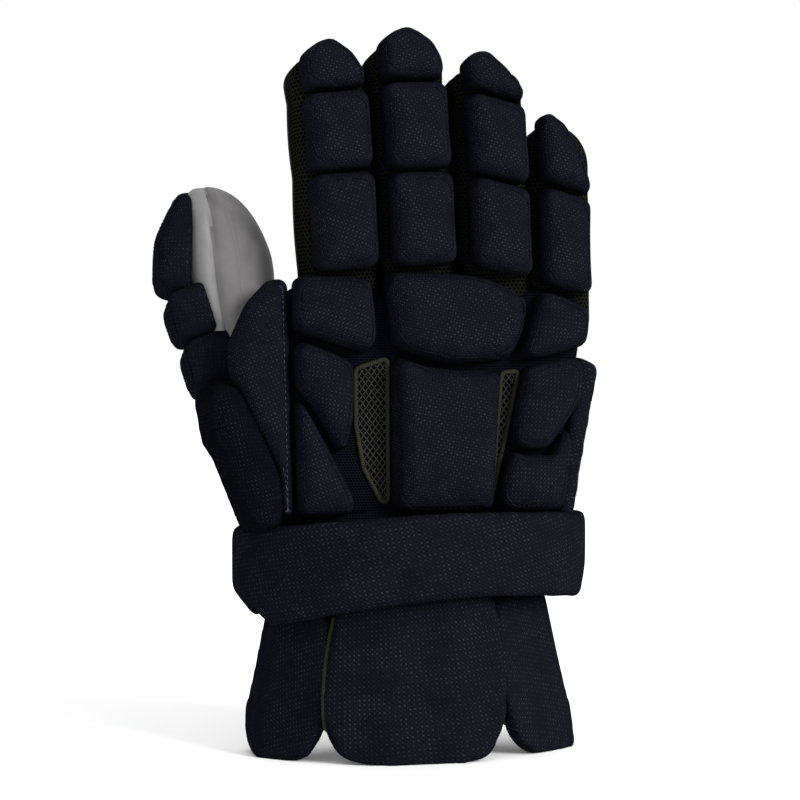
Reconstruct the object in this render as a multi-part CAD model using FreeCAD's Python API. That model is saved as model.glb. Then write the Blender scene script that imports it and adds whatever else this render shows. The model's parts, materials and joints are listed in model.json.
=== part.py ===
"""A padded right-hand hockey glove, standing on its cuff with the fingers up.

Frame: +Z up along the fingers, -Y out of the back of the hand, +Y out of the palm, -X towards the thumb.
The glove is a soft hand (leather palm, finger gussets, back liner) that carries foam rolls and pads.
Every finger is a chain of segments, and every segment turns about a crosswise axis just under the
leather. The hand turns on the cuff at the wrist, and three foam flaps hang from the wrist band.
Each sub-part is written to parts/NODE.step in millimetres.
"""

import FreeCAD
import Part
import math
import os

V = FreeCAD.Vector

# --- driving dimensions ---------------------------------------------------------------------------
LEATHER = 1.6  # palm leather, gusset knit and back liner, as one wall thickness
FINGER_DEPTH = 23.0  # palm leather to back liner, over one finger
HINGE_DEPTH = 8.0  # how far a finger's axis lies under the palm leather
PALM_Y = 13.0  # the fingers' palm surface at the knuckles
ROLL_THICKNESS = 13.0
ROLL_INSET = 1.5  # how much smaller a roll's top is than its base, all round
ROLL_END = 1.0  # from a joint's plane to the end of each roll beside it
INSERT_THICKNESS = 1.2
AIR = 0.3  # between pieces that touch in use but may move
JOINT_AIR = 0.25  # half the gap between two neighbouring segments at their axis
BACK_BEND = 3.5  # half the angle, in degrees, that a finger joint can bend backwards
CORNER = 3.5  # corner radius of a pad's outline

KNUCKLE_Z = 218.0  # the level where the back-of-hand plane leaves the finger plane
BACK_TILT = -6.6  # degrees: the back of the hand flares out towards the wrist
PALM_TILT = 4.0  # degrees: so does the palm
WRIST_Z = 112.0  # lower edge of the hand
WRIST_AXIS_Y, WRIST_AXIS_Z = -12.0, 106.0
WRIST_BACK, WRIST_FORWARD = 6.0, 15.0  # degrees that the hand bends either way
HEM_CORNER = 13.0  # height of the corners cut off the hand's lower edge, where the band passes

CUFF_X = 12.8  # centre of the cuff's oval
BAND_HALF_WIDTH = 81.5
BAND_HALF_DEPTH = 50.0
BAND_THICKNESS = 10.0
BAND_LOW, BAND_MIDDLE_LOW, BAND_HIGH = 64.5, 77.0, 113.5
LINER_HALF_WIDTH = 47.5
LINER_HALF_DEPTH = 25.0
BAND_PALM_DROP = 9.0  # how much lower the band's top is at its palm-side ends than over the back
FLOOR_Z = 3.5  # every flap ends on this level, and the glove stands on them

# Per finger: x and z of the knuckle axis, its depth set-back, the lean in the plane of the hand
# (degrees, tips towards the thumb are negative), the sleeve's width, the slant of its rolls' ends
# (degrees), the rolls' thickness on the thumb side and on the outer side (they face outwards more and
# more towards the little finger), how much of the closed tip's corners is cut off, then each segment's
# length, forward pitch and largest bend (degrees).
FINGERS = {
    "index": dict(x=-20.4, z=221.5, back=0.0, lean=-2.6, width=32.0, slant=2.0, rolls=(13.0, 13.0), shoulder=8.0,
                  segments=[("base", 42.5, 3.0, 78.0), ("middle", 34.5, 5.0, 84.0), ("tip", 22.0, 6.0, 50.0)]),
    "middle": dict(x=15.2, z=223.5, back=-0.5, lean=-2.3, width=32.5, slant=-0.5, rolls=(14.5, 12.0), shoulder=8.0,
                   segments=[("base", 41.0, 3.0, 78.0), ("middle", 38.5, 5.0, 84.0), ("tip", 23.0, 6.0, 50.0)]),
    "ring": dict(x=51.6, z=220.0, back=0.0, lean=-1.2, width=31.0, slant=-14.0, rolls=(15.5, 11.0), shoulder=11.0,
                 segments=[("base", 40.0, 3.0, 78.0), ("middle", 36.0, 5.0, 84.0), ("tip", 19.0, 6.0, 50.0)]),
    "little": dict(x=83.2, z=211.5, back=3.0, lean=0.0, width=27.5, slant=-16.0, rolls=(15.0, 9.0), shoulder=12.0,
                   segments=[("base", 44.0, 3.0, 70.0), ("tip", 33.5, 7.0, 70.0)]),
}

# The fingertip rolls' crowns, as (share of half width, share of length) from the outer side round to
# the thumb side.
TIP_CROWN = {
    "index": [(1.0, 0.34), (0.64, 0.70), (0.0, 1.0), (-0.45, 0.93), (-1.0, 0.72)],
    "middle": [(1.0, 0.37), (0.72, 0.70), (0.30, 0.89), (-0.1, 1.0), (-0.55, 0.91), (-1.0, 0.74)],
    "ring": [(1.0, 0.14), (0.86, 0.30), (0.38, 0.66), (-0.2, 1.0), (-0.6, 0.98), (-1.0, 0.84)],
    "little": [(1.0, 0.10), (0.86, 0.27), (0.52, 0.60), (0.0, 0.85), (-0.66, 1.0), (-1.0, 0.93)],
}

# Thumb: a sleeve that stands forward of the palm and leans away from it, its padded back towards -X.
THUMB_ROOT = V(-48.5, 15.0, 175.0)  # on the thumb's palm surface
THUMB_FORWARD = 16.0  # degrees of forward tilt
THUMB_LEAN = -15.0  # degrees away from the hand
THUMB_TURN = 4.0  # degrees that its palm side turns towards the back of the hand
THUMB_WIDTH = 33.0
# The tip narrows on its palm side, from its full depth at narrow_from to narrow_to at its end.
THUMB_BASE = dict(depth=23.0, length=45.0)
THUMB_TIP = dict(depth=36.0, length=43.5, narrow_from=17.0, narrow_to=17.0)
THUMB_TIP_STEP = 9.0  # how far the tip's palm surface stands out beyond the base's
THUMB_AXIS_DEPTH = 18.0  # of the tip joint, under the base's palm surface
THUMB_PITCH = 19.0  # degrees that the tip is bent already at rest
THUMB_BEND = 30.0
THUMB_OPEN = 12.0
THUMB_PAD = 12.0

# Back-of-hand pads: outline (x, z) in the flat back plane, then thickness at the thumb side and at
# the outer side. The outlines follow the seams of the shell.
HAND_PADS = {
    "index_knuckle_pad": ([(-44.5, 218.5), (-10, 217.5), (-8, 191), (-11, 184), (-30, 190), (-44.5, 195)], 12, 13),
    "centre_knuckle_pad": ([(-3, 219.5), (20, 220), (43, 217.5), (63, 208), (60, 192), (54, 181.5),
                            (30, 178.8), (16, 181), (0, 188)], 14, 13),
    "little_knuckle_pad": ([(70, 212), (93.5, 203), (91, 187), (57.5, 179), (64, 193)], 13, 8),
    "index_metacarpal_pad": ([(-44.5, 191), (-18.5, 179.5), (-19.5, 156), (-23, 141), (-27, 141), (-35, 157),
                              (-44.5, 171)], 11, 12),
    "index_wrist_pad": ([(-44.5, 165), (-41.5, 161), (-20, 119), (-20, 112.3), (-44.5, 112.3)], 10, 11),
    "centre_metacarpal_pad": ([(0, 183), (15, 177), (30, 175), (49.5, 175.5), (44, 112.3), (-1.5, 112.3)], 14, 13),
    "outer_metacarpal_pad": ([(61, 176.5), (89.5, 182), (87.5, 162), (71, 140), (60, 140), (53.5, 143)], 12, 8),
    "outer_wrist_pad": ([(53, 140), (60, 136.5), (72.5, 136.5), (84.5, 156), (78, 112.3), (46, 112.3)], 12, 8),
}
VENTS = [
    [(-16.5, 177.5), (-1.5, 182), (-3, 117), (-6, 117), (-14, 133), (-17, 152)],
    [(51.5, 175), (59.5, 175.5), (52.5, 146), (50.5, 139), (45, 117)],
]
WEB = [(-56, 216), (-46.8, 218), (-46.8, 112.3), (-52.0, 112.3), (-52.6, 132), (-64.4, 156.5), (-73, 176),
       (-73, 189), (-65, 206)]
THUMB_SIDE = [(-84, 161.5), (-70, 165), (-66.6, 156), (-54.4, 131.5), (-53.6, 112.3), (-67, 112.3), (-77.5, 139),
              (-81, 143.5)]

# Cuff flaps: the level of the hinge, the flap's outer face in plan at that level, as a bent line from
# the thumb side to the outer side, how far its lower end flares out, its thickness, and its lobe as
# (x, z) seen along the direction it faces (degrees from -Y, towards the outer side positive).
FLAPS = {
    "cuff_flap_centre": dict(z=78.0, plan=[(-32, -30), (-8, -37.5), (25, -39.3), (47, -34.5)], flare=12.0,
                             thick=9.5, facing=0.0, lobe=[(-26, 79), (43, 79), (46, 30), (45.5, 16), (36, 1),
                                                          (-18, 1), (-29, 4), (-34, 14), (-34, 30)]),
    "cuff_flap_thumb": dict(z=72.0, plan=[(-50, 15), (-50, -8.5), (-29.5, -29)], flare=12.5, thick=7.5,
                            facing=-45.0, lobe=[(-46, 73), (-5, 73), (-6, 30), (-7, 12), (-15, 1), (-45, 1),
                                                (-57, 12), (-58, 30)]),
    "cuff_flap_outer": dict(z=74.0, plan=[(46.5, -30), (73, -11.5), (78.5, 11)], flare=15.0, thick=7.5,
                            facing=36.0, lobe=[(19, 75), (74, 75), (84, 30), (83, 13), (72, 1), (36, 1),
                                               (23, 8), (18.5, 26)]),
}
FLAP_IN, FLAP_OUT = 2.0, 10.0  # degrees that a flap swings in and out
STRAP_WIDTH = 26.0
STRAP_THICKNESS = 2.4
STRAP_Z = 86.0  # middle of the strap
PATCH = 1.2  # one side of the hook-and-loop closure
THUMB_END_Y = 24.0  # where the band's thumb-side end is cut off, on the palm side
ANCHOR_X = 68.0  # the strap bends here, at the edge of its sewn tab


# --- outlines and solids --------------------------------------------------------------------------
def inset(outline, distance):
    """The outline moved inwards by a distance, corner for corner."""
    n = len(outline)
    area = sum(outline[i - 1][0] * outline[i][1] - outline[i][0] * outline[i - 1][1] for i in range(n))
    side = 1 if area > 0 else -1
    moved = []
    for i in range(n):
        (x0, z0), (x1, z1), (x2, z2) = outline[i - 1], outline[i], outline[(i + 1) % n]
        l1, l2 = math.hypot(x1 - x0, z1 - z0), math.hypot(x2 - x1, z2 - z1)
        n1 = (-side * (z1 - z0) / l1, side * (x1 - x0) / l1)
        n2 = (-side * (z2 - z1) / l2, side * (x2 - x1) / l2)
        scale = distance / (1 + n1[0] * n2[0] + n1[1] * n2[1])
        moved.append((x1 + (n1[0] + n2[0]) * scale, z1 + (n1[1] + n2[1]) * scale))
    return moved


def rounded_wire(points, radius):
    """A closed flat wire through the corners, each rounded by an arc."""
    n, corners = len(points), []
    for i in range(n):
        p = points[i]
        a, b = points[i - 1] - p, points[(i + 1) % n] - p
        room = 0.45 * min(a.Length, b.Length)
        a.normalize()
        b.normalize()
        half = a.getAngle(b) / 2
        reach = min(radius / math.tan(half), room)
        r = reach * math.tan(half)
        bisector = (a + b).normalize()
        corners.append((p + a * reach, p + bisector * (r / math.sin(half) - r), p + b * reach))
    edges = []
    for i in range(n):
        edges.append(Part.Arc(*corners[i]).toShape())
        edges.append(Part.LineSegment(corners[i][2], corners[(i + 1) % n][0]).toShape())
    return Part.Wire(edges)


def pad(outline, y_base, left, right=None, bevel=ROLL_INSET, radius=CORNER):
    """A foam pad on the plane y = y_base, standing out towards -Y: left and right are its thickness at
    the outline's lowest and highest x. Its top is smaller than its base by the bevel."""
    right = left if right is None else right
    xs = [x for x, z in outline]
    low, span = min(xs), max(xs) - min(xs)

    def top_y(x):
        return y_base - left - (right - left) * (x - low) / span

    base = rounded_wire([V(x, y_base, z) for x, z in outline], radius)
    top = rounded_wire([V(x, top_y(x), z) for x, z in inset(outline, bevel)], radius)
    return Part.makeLoft([base, top], True, True)


def slab(outline, y0, y1):
    """A flat piece with this (x, z) outline between two depths."""
    points = [V(x, y0, z) for x, z in outline]
    return Part.Face(Part.makePolygon(points + points[:1])).extrude(V(0, y1 - y0, 0))


def plate(corners, through):
    """A flat plate with these corners, pushed along a vector."""
    points = [V(*c) for c in corners]
    return Part.Face(Part.makePolygon(points + points[:1])).extrude(V(*through))


def box(x, y, z):
    """A box from three (low, high) pairs."""
    return Part.makeBox(x[1] - x[0], y[1] - y[0], z[1] - z[0], V(x[0], y[0], z[0]))


def placed(shape, placement):
    moved = shape.copy()
    moved.Placement = placement.multiply(moved.Placement)
    return moved


def turned(shape, centre, axis, degrees):
    moved = shape.copy()
    moved.rotate(centre, axis, degrees)
    return moved


def oval(half_width, half_depth, low, high):
    """A solid oval column around the cuff's middle."""
    ring = Part.Ellipse(V(CUFF_X, -1.0, low), half_width, half_depth).toShape()
    return Part.Face(Part.Wire([ring])).extrude(V(0, 0, high - low))


def tan(degrees):
    return math.tan(math.radians(degrees))


# --- fingers and thumb ----------------------------------------------------------------------------
# A segment is drawn with its palm surface at y = 0, its lower axis at z = 0 and its back at -depth.
def sleeve_profile(depth, length, low, high):
    """The side view of a segment's sleeve as (y, z). low and high give, for each end, the axis depth,
    half the forward bend and half the backward bend; high is None at a closed tip."""
    axis, bend, back = low
    profile = [
        (0, JOINT_AIR + axis * tan(bend)),
        (-axis, JOINT_AIR),
        (-depth, JOINT_AIR + (depth - axis) * tan(back)),
    ]
    if high is None:
        return profile + [(-depth, length), (0, length)]
    axis, bend, back = high
    return profile + [
        (-depth, length - JOINT_AIR - (depth - axis) * tan(back)),
        (-axis, length - JOINT_AIR),
        (0, length - JOINT_AIR - axis * tan(bend)),
    ]


def sleeve(width, depth, length, low, high, shoulder=0.0):
    """Palm leather, back liner and side gussets of one segment, as flat walls round a cavity. A closed
    tip has its two top corners cut off at 45 degrees."""
    profile = sleeve_profile(depth, length, low, high)
    points = [V(-width / 2, y, z) for y, z in profile]
    body = Part.Face(Part.makePolygon(points + points[:1])).extrude(V(width, 0, 0))
    half, top = width / 2, length
    if high is None:
        outer = [(-half, -1), (half, -1), (half, top - shoulder), (half - shoulder, top),
                 (shoulder - half, top), (-half, top - shoulder)]
        body = body.common(slab(outer, -depth - 1, 1))
        sides = range(1, len(outer))
    else:
        outer = [(-half, -1), (half, -1), (half, top + 1), (-half, top + 1)]
        sides = (1, 3)
    inner = inset(outer, LEATHER)
    walls = [box((-half, half), (-LEATHER, 0), (-1, top + 1)),
             box((-half, half), (-depth, LEATHER - depth), (-1, top + 1))]
    for i in sides:
        j = (i + 1) % len(outer)
        walls.append(slab([outer[i], outer[j], inner[j], inner[i]], LEATHER - depth, -LEATHER))
    return Part.makeCompound([body.common(w) for w in walls])


def pouch(width, size, axis_depth, notch):
    """The thumb tip's leather: flat walls along its side view, which narrows on the palm side, and two
    gussets."""
    depth, length, half = size["depth"], size["length"], width / 2
    profile = [(0, JOINT_AIR + axis_depth * tan(notch)), (-axis_depth, JOINT_AIR), (-depth, JOINT_AIR),
               (-depth, length), (size["narrow_to"] - depth, length), (0, size["narrow_from"])]
    inner = inset(profile, LEATHER)
    walls = []
    for i in (2, 3, 4, 5):
        j = (i + 1) % len(profile)
        quad = [profile[i], profile[j], inner[j], inner[i]]
        walls.append(plate([(LEATHER - half, y, z) for y, z in quad], (width - 2 * LEATHER, 0, 0)))
    for x in (-half, half - LEATHER):
        walls.append(plate([(x, y, z) for y, z in profile], (LEATHER, 0, 0)))
    return Part.makeCompound(walls)


def roll_outline(half, low, high, slant):
    return [(-half, low - half * tan(slant)), (half, low + half * tan(slant)),
            (half, high + half * tan(slant)), (-half, high - half * tan(slant))]


def tip_outline(half, length, slant, crown):
    low = [(-half, ROLL_END - half * tan(slant)), (half, ROLL_END + half * tan(slant))]
    return low + [(half * x, length * z) for x, z in crown]


def finger(name, f, nodes, joints):
    """One finger's rolls, inserts and sleeves, and its joints, from the knuckle outwards."""
    here = FreeCAD.Placement(V(f["x"], PALM_Y + f["back"], f["z"]), FreeCAD.Rotation(V(0, 1, 0), f["lean"]))
    axis_point = V(0, -HINGE_DEPTH, 0)
    parent = "hand"
    last = len(f["segments"]) - 1
    half = f["width"] / 2 - 2.0
    for i, (part, length, pitch, bend) in enumerate(f["segments"]):
        here = here.multiply(FreeCAD.Placement(V(0, 0, 0), FreeCAD.Rotation(V(-1, 0, 0), pitch), axis_point))
        body = f"{name}_{part}"
        low = (HINGE_DEPTH, (bend + pitch) / 2 + 1, BACK_BEND)
        covered = -FINGER_DEPTH - AIR
        if i == last:
            high = None
            outline = tip_outline(half, length, f["slant"], TIP_CROWN[name])
        else:
            following = f["segments"][i + 1]
            high = (HINGE_DEPTH, (following[2] + following[3]) / 2 + 1, BACK_BEND)
            outline = roll_outline(half, ROLL_END, length - ROLL_END, f["slant"])
            if name != "little":
                under = roll_outline(half - 4, 6, length - 6, f["slant"])
                nodes[f"{body}_insert"] = placed(slab(under, covered, covered - INSERT_THICKNESS), here)
                covered -= INSERT_THICKNESS + 0.1
        nodes[f"{body}_roll"] = placed(pad(outline, covered, *f["rolls"]), here)
        tall = length if high else length - 2
        nodes[f"{body}_sleeve"] = placed(
            sleeve(f["width"], FINGER_DEPTH, tall, low, high, f["shoulder"]), here)
        joints.append(dict(name=f"{body}_bend", parent=parent, child=body, at=here.multVec(axis_point),
                           axis=here.Rotation.multVec(V(-1, 0, 0)), low=1 - 2 * BACK_BEND, high=bend))
        parent = body
        here = here.multiply(FreeCAD.Placement(V(0, 0, length), FreeCAD.Rotation()))


def thumb(nodes, joints):
    """The two-piece thumb: a base that swings open and a tip that bends one way only."""
    up = V(tan(THUMB_LEAN), tan(THUMB_FORWARD), 1).normalize()
    palm_side = V(math.cos(math.radians(THUMB_TURN)), -math.sin(math.radians(THUMB_TURN)), 0)
    base = FreeCAD.Placement(THUMB_ROOT, FreeCAD.Rotation(V(0, 0, 0), palm_side, up, "ZYX"))
    depth, length = THUMB_BASE["depth"], THUMB_BASE["length"]
    notch = (THUMB_BEND + THUMB_PITCH) / 2 + 1
    nodes["thumb_base_sleeve"] = placed(
        sleeve(THUMB_WIDTH, depth, length, (depth - 2, 0, 0), (THUMB_AXIS_DEPTH, notch, 0)), base)
    half = THUMB_WIDTH / 2 - 2
    backing = -depth - AIR
    nodes["thumb_base_lock_plate"] = placed(
        slab(roll_outline(half - 4, 4, length - 4, 0), backing, backing - INSERT_THICKNESS), base)
    backing -= INSERT_THICKNESS + 0.1
    nodes["thumb_base_roll"] = placed(pad(roll_outline(half, 1.5, 21.5, 6), backing, THUMB_PAD - 1), base)
    nodes["thumb_middle_roll"] = placed(pad(roll_outline(half, 24.0, length - 1.5, 3), backing, THUMB_PAD), base)
    joints.append(dict(name="thumb_base_swing", parent="hand", child="thumb_base",
                       at=base.multVec(V(0, -depth, 0)), axis=base.Rotation.multVec(V(-1, 0, 0)),
                       low=-THUMB_OPEN, high=0.0))
    axis_depth = THUMB_AXIS_DEPTH + THUMB_TIP_STEP
    tip = base.multiply(FreeCAD.Placement(V(0, THUMB_TIP_STEP, length), FreeCAD.Rotation()))
    tip = tip.multiply(FreeCAD.Placement(V(0, 0, 0), FreeCAD.Rotation(V(-1, 0, 0), THUMB_PITCH),
                                         V(0, -axis_depth, 0)))
    depth, length = THUMB_TIP["depth"], THUMB_TIP["length"]
    nodes["thumb_tip_sleeve"] = placed(pouch(THUMB_WIDTH + 1, THUMB_TIP, axis_depth, notch), tip)
    cap = [(-half, 1.5), (half, 1.5), (half, 27), (half * 0.62, 40), (0, 45), (-half * 0.62, 40), (-half, 27)]
    nodes["thumb_tip_cap"] = placed(pad(cap, -depth - AIR, THUMB_PAD), tip)
    joints.append(dict(name="thumb_tip_bend", parent="thumb_base", child="thumb_tip",
                       at=tip.multVec(V(0, -axis_depth, 0)), axis=tip.Rotation.multVec(V(-1, 0, 0)),
                       low=0.0, high=THUMB_BEND))


# --- hand -----------------------------------------------------------------------------------------
LINER_Y = PALM_Y - FINGER_DEPTH  # front of the flat back liner before it is tilted


def on_back(shape):
    return turned(shape, V(0, LINER_Y, KNUCKLE_Z), V(1, 0, 0), BACK_TILT)


def on_palm(shape):
    return turned(shape, V(0, PALM_Y + 2, KNUCKLE_Z), V(1, 0, 0), PALM_TILT)


def hand(nodes):
    """The soft hand and the pads on its back."""
    for name, (outline, left, right) in HAND_PADS.items():
        base = LINER_Y - AIR
        if name == "centre_metacarpal_pad":
            insert = inset(outline, 7)
            nodes["centre_metacarpal_insert"] = on_back(slab(insert, base, base - INSERT_THICKNESS))
            base -= INSERT_THICKNESS + 0.1
        nodes[name] = on_back(pad(outline, base, left, right))
    nodes["vent_mesh"] = on_back(
        Part.makeCompound([slab(v, LINER_Y - AIR, LINER_Y - AIR - 1) for v in VENTS]))
    nodes["thumb_web"] = on_back(pad(WEB, LINER_Y + 2, 6, bevel=1.5))
    nodes["thumb_side_pad"] = on_back(pad(THUMB_SIDE, LINER_Y + 14, 21, bevel=2.5, radius=5))

    hem_z = WRIST_Z + HEM_CORNER
    front = [(-41, WRIST_Z), (-46, hem_z), (-46, 216), (-4, 218), (66, 216), (93, 206), (79, hem_z), (69, WRIST_Z)]
    liner = [on_back(slab(front, LINER_Y, LINER_Y + LEATHER))]
    back_low = LINER_Y - (KNUCKLE_Z - WRIST_Z) * tan(-BACK_TILT) + LEATHER + 0.1
    palm_low = PALM_Y + 2 + (KNUCKLE_Z - WRIST_Z) * tan(PALM_TILT) - 0.1
    back_high, palm_high = LINER_Y + LEATHER + 0.9, PALM_Y + 2.2
    back_hem, palm_hem = back_low + HEM_CORNER * tan(-BACK_TILT), palm_low - HEM_CORNER * tan(PALM_TILT)
    hem_x = 75.5 + HEM_CORNER * (92 - 75.5) / (206 - WRIST_Z)
    liner.append(plate([(92, back_high, 206), (92, palm_high, 206), (hem_x, palm_hem, hem_z),
                        (75.5, palm_low - 9, WRIST_Z), (75.5, back_low + 8, WRIST_Z), (hem_x, back_hem, hem_z)],
                       (LEATHER, 0, 0)))
    knee = (KNUCKLE_Z - 146) * tan(-BACK_TILT)
    liner.append(plate([(-46, LINER_Y + LEATHER + 0.1 - knee, 146), (-46, palm_high + 4.5, 146),
                        (-46, palm_hem, hem_z), (-46, palm_low - 6, WRIST_Z), (-46, back_low + 4, WRIST_Z),
                        (-46, back_hem, hem_z)], (LEATHER, 0, 0)))
    liner.append(plate([(-46, back_high, 214), (-46, 8, 214), (-46, 8, 200), (-46, back_high - 2, 200)],
                       (LEATHER, 0, 0)))
    nodes["back_liner"] = Part.makeCompound(liner)

    palm = [(-38, WRIST_Z), (-46, hem_z), (-46, 186), (-38, 209), (64, 209), (69, 202.5), (93, 197),
            (79, hem_z), (64, WRIST_Z)]
    nodes["palm_leather"] = on_palm(slab(palm, PALM_Y + 2, PALM_Y + 2 + LEATHER))
    patch = [(-38, 150), (-30, 198), (-20, 204), (60, 204), (84, 194), (76, 150), (40, 132), (-10, 132)]
    y = PALM_Y + 2 + LEATHER
    nodes["palm_patch"] = on_palm(slab(patch, y + 0.05, y + 1.25))

    inner = [(89.9, -13.5, 181), (89.9, 11, 181), (77.9, 13, WRIST_Z + 1), (77.9, -20, WRIST_Z + 1)]
    outer = [(98.9, -12, 177), (98.9, 9, 177), (84.9, 12, WRIST_Z + 1.5), (84.9, -18.5, WRIST_Z + 1.5)]
    nodes["edge_guard"] = Part.makeLoft([Part.makePolygon([V(*c) for c in ring + ring[:1]])
                                         for ring in (inner, outer)], True, True)
    slope = (98.9 - 84.9) / (177 - WRIST_Z - 1.5)

    def outside(z):
        return 84.9 + slope * (z - WRIST_Z - 1.5) + 0.1

    stripe = [(outside(162), -10.5, 162), (outside(162), -8, 162), (outside(118), -8, 118),
              (outside(118), -10.5, 118)]
    nodes["edge_stripe"] = plate(stripe, (0.8, 0, 0))


# --- cuff -----------------------------------------------------------------------------------------
def band_outline():
    """The band as the front view shows it: an arch whose ends sit lower than its middle."""
    x0, x1 = CUFF_X - BAND_HALF_WIDTH - 1, CUFF_X + BAND_HALF_WIDTH + 1
    right = [V(x1, -80, 109.5), V(x1, -80, 92), V(x1 - 8, -80, 73)]
    left = [V(x0 + 14, -80, BAND_LOW), V(x0, -80, 80), V(x0, -80, 105)]
    top = Part.Arc(left[-1], V(8, -80, BAND_HIGH), right[0]).toShape()
    bottom = Part.Arc(right[-1], V(14, -80, BAND_MIDDLE_LOW), left[0]).toShape()
    outline = [top, *Part.makePolygon(right).Edges, bottom, *Part.makePolygon(left).Edges]
    return Part.Face(Part.Wire(outline)).extrude(V(0, 160, 0))


def offset_line(line, distance):
    """A bent line in plan moved to its right-hand side, which is outwards for the flaps."""
    moved = []
    for i, (x, y) in enumerate(line):
        normals = []
        for a, b in ((i - 1, i), (i, i + 1)):
            if a >= 0 and b < len(line):
                dx, dy = line[b][0] - line[a][0], line[b][1] - line[a][1]
                size = math.hypot(dx, dy)
                normals.append((dy / size, -dx / size))
        n = normals[0]
        m = normals[-1]
        scale = distance / (1 + n[0] * m[0] + n[1] * m[1])
        moved.append((x + (n[0] + m[0]) * scale, y + (n[1] + m[1]) * scale))
    return moved


def flap(f):
    """A foam flap as flat panels side by side, each flaring out downwards, cut to the lobe."""
    high, low = f["z"], 0.0
    faces = {}
    for level, outwards in ((high, 0.0), (low, f["flare"])):
        faces[level] = (offset_line(f["plan"], outwards), offset_line(f["plan"], outwards - f["thick"]))
    turn = FreeCAD.Placement(V(0, 0, 0), FreeCAD.Rotation(V(0, 0, 1), f["facing"]))
    corners = rounded_wire([V(x, -120, z) for x, z in f["lobe"]], 9.0)
    lobe = placed(Part.Face(corners).extrude(V(0, 240, 0)), turn)
    lobe = lobe.common(box((-200, 200), (-200, 200), (FLOOR_Z, 200)))
    panels = []
    for i in range(len(f["plan"]) - 1):
        rings = []
        for level in (high, low):
            out, inside = faces[level]
            ring = [V(*out[i], level), V(*out[i + 1], level), V(*inside[i + 1], level), V(*inside[i], level)]
            rings.append(Part.makePolygon(ring + ring[:1]))
        panels.append(Part.makeLoft(rings, True, True).common(lobe))
    return Part.makeCompound(panels)


def cuff(nodes, joints):
    """The wrist band, the liner inside it, the flaps that hang from it and the closing strap."""
    ring = oval(BAND_HALF_WIDTH, BAND_HALF_DEPTH, 55, 120).cut(
        oval(BAND_HALF_WIDTH - BAND_THICKNESS, BAND_HALF_DEPTH - BAND_THICKNESS, 54, 121))
    strap_y = THUMB_END_Y + 2 * PATCH + 0.2
    ring = ring.cut(box((-100, CUFF_X), (THUMB_END_Y, 80), (0, 200)))
    ring = ring.cut(box((CUFF_X, 120), (strap_y, 80), (0, 200)))
    slope = [(WRIST_AXIS_Y, 120), (WRIST_AXIS_Y, BAND_HIGH), (30, BAND_HIGH - 4.5 - BAND_PALM_DROP), (30, 120)]
    ring = ring.cut(plate([(-100, y, z) for y, z in slope], (220, 0, 0)))
    nodes["wrist_band"] = ring.common(band_outline())
    nodes["cuff_liner"] = oval(LINER_HALF_WIDTH, LINER_HALF_DEPTH, 42, 98).cut(
        oval(LINER_HALF_WIDTH - 2, LINER_HALF_DEPTH - 2, 41, 99))

    low, high = STRAP_Z - STRAP_WIDTH / 2, STRAP_Z + STRAP_WIDTH / 2
    end = CUFF_X - 71.0
    y = THUMB_END_Y
    nodes["strap_loop_patch"] = box((end, end + 15), (y, y + PATCH), (low + 1, high - 1))
    nodes["strap_hook_patch"] = box((end, end + 15), (y + PATCH + 0.1, strap_y - 0.1), (low + 1, high - 1))
    back = strap_y + STRAP_THICKNESS
    nodes["wrist_strap"] = box((end - 4, ANCHOR_X), (strap_y, back), (low, high))
    nodes["strap_anchor_tab"] = box((ANCHOR_X + 0.2, ANCHOR_X + 13), (strap_y, back), (low, high))
    joints.append(dict(name="wrist_strap_open", parent="cuff", child="wrist_strap",
                       at=V(ANCHOR_X, back, STRAP_Z), axis=V(0, 0, -1), low=0.0, high=110.0))

    for name, f in FLAPS.items():
        nodes[name] = flap(f)
        front = max(range(len(f["plan"]) - 1), key=lambda i: -f["plan"][i][1] - f["plan"][i + 1][1])
        inside = offset_line(f["plan"], -f["thick"])
        a, b = V(*inside[front], f["z"]), V(*inside[front + 1], f["z"])
        joints.append(dict(name=f"{name}_lift", parent="cuff", child=name, at=(a + b) / 2,
                           axis=(a - b).normalize(), low=-FLAP_IN, high=FLAP_OUT))


# --- the whole glove ------------------------------------------------------------------------------
def build():
    """Every node's shape and every joint, with the bounding box's bottom centre at the origin."""
    nodes, joints = {}, []
    joints.append(dict(name="wrist_bend", parent="cuff", child="hand", at=V(CUFF_X, WRIST_AXIS_Y, WRIST_AXIS_Z),
                       axis=V(-1, 0, 0), low=-WRIST_BACK, high=WRIST_FORWARD))
    for name, f in FINGERS.items():
        finger(name, f, nodes, joints)
    thumb(nodes, joints)
    hand(nodes)
    cuff(nodes, joints)
    whole = Part.makeCompound(list(nodes.values())).optimalBoundingBox(False, False)
    shift = V(-whole.Center.x, -whole.Center.y, -whole.ZMin)
    for shape in nodes.values():
        shape.translate(shift)
    for joint in joints:
        joint["at"] = joint["at"] + shift
    return nodes, joints, shift


NODES, JOINTS, SHIFT = build()
os.makedirs("parts", exist_ok=True)
for node, shape in NODES.items():
    shape.exportStep(f"parts/{node}.step")
print(len(NODES), "nodes,", len(JOINTS), "joints, shifted by", SHIFT)
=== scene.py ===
import json
import math

import bpy
import numpy as np
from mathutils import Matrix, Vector
from mathutils.bvhtree import BVHTree

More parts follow.
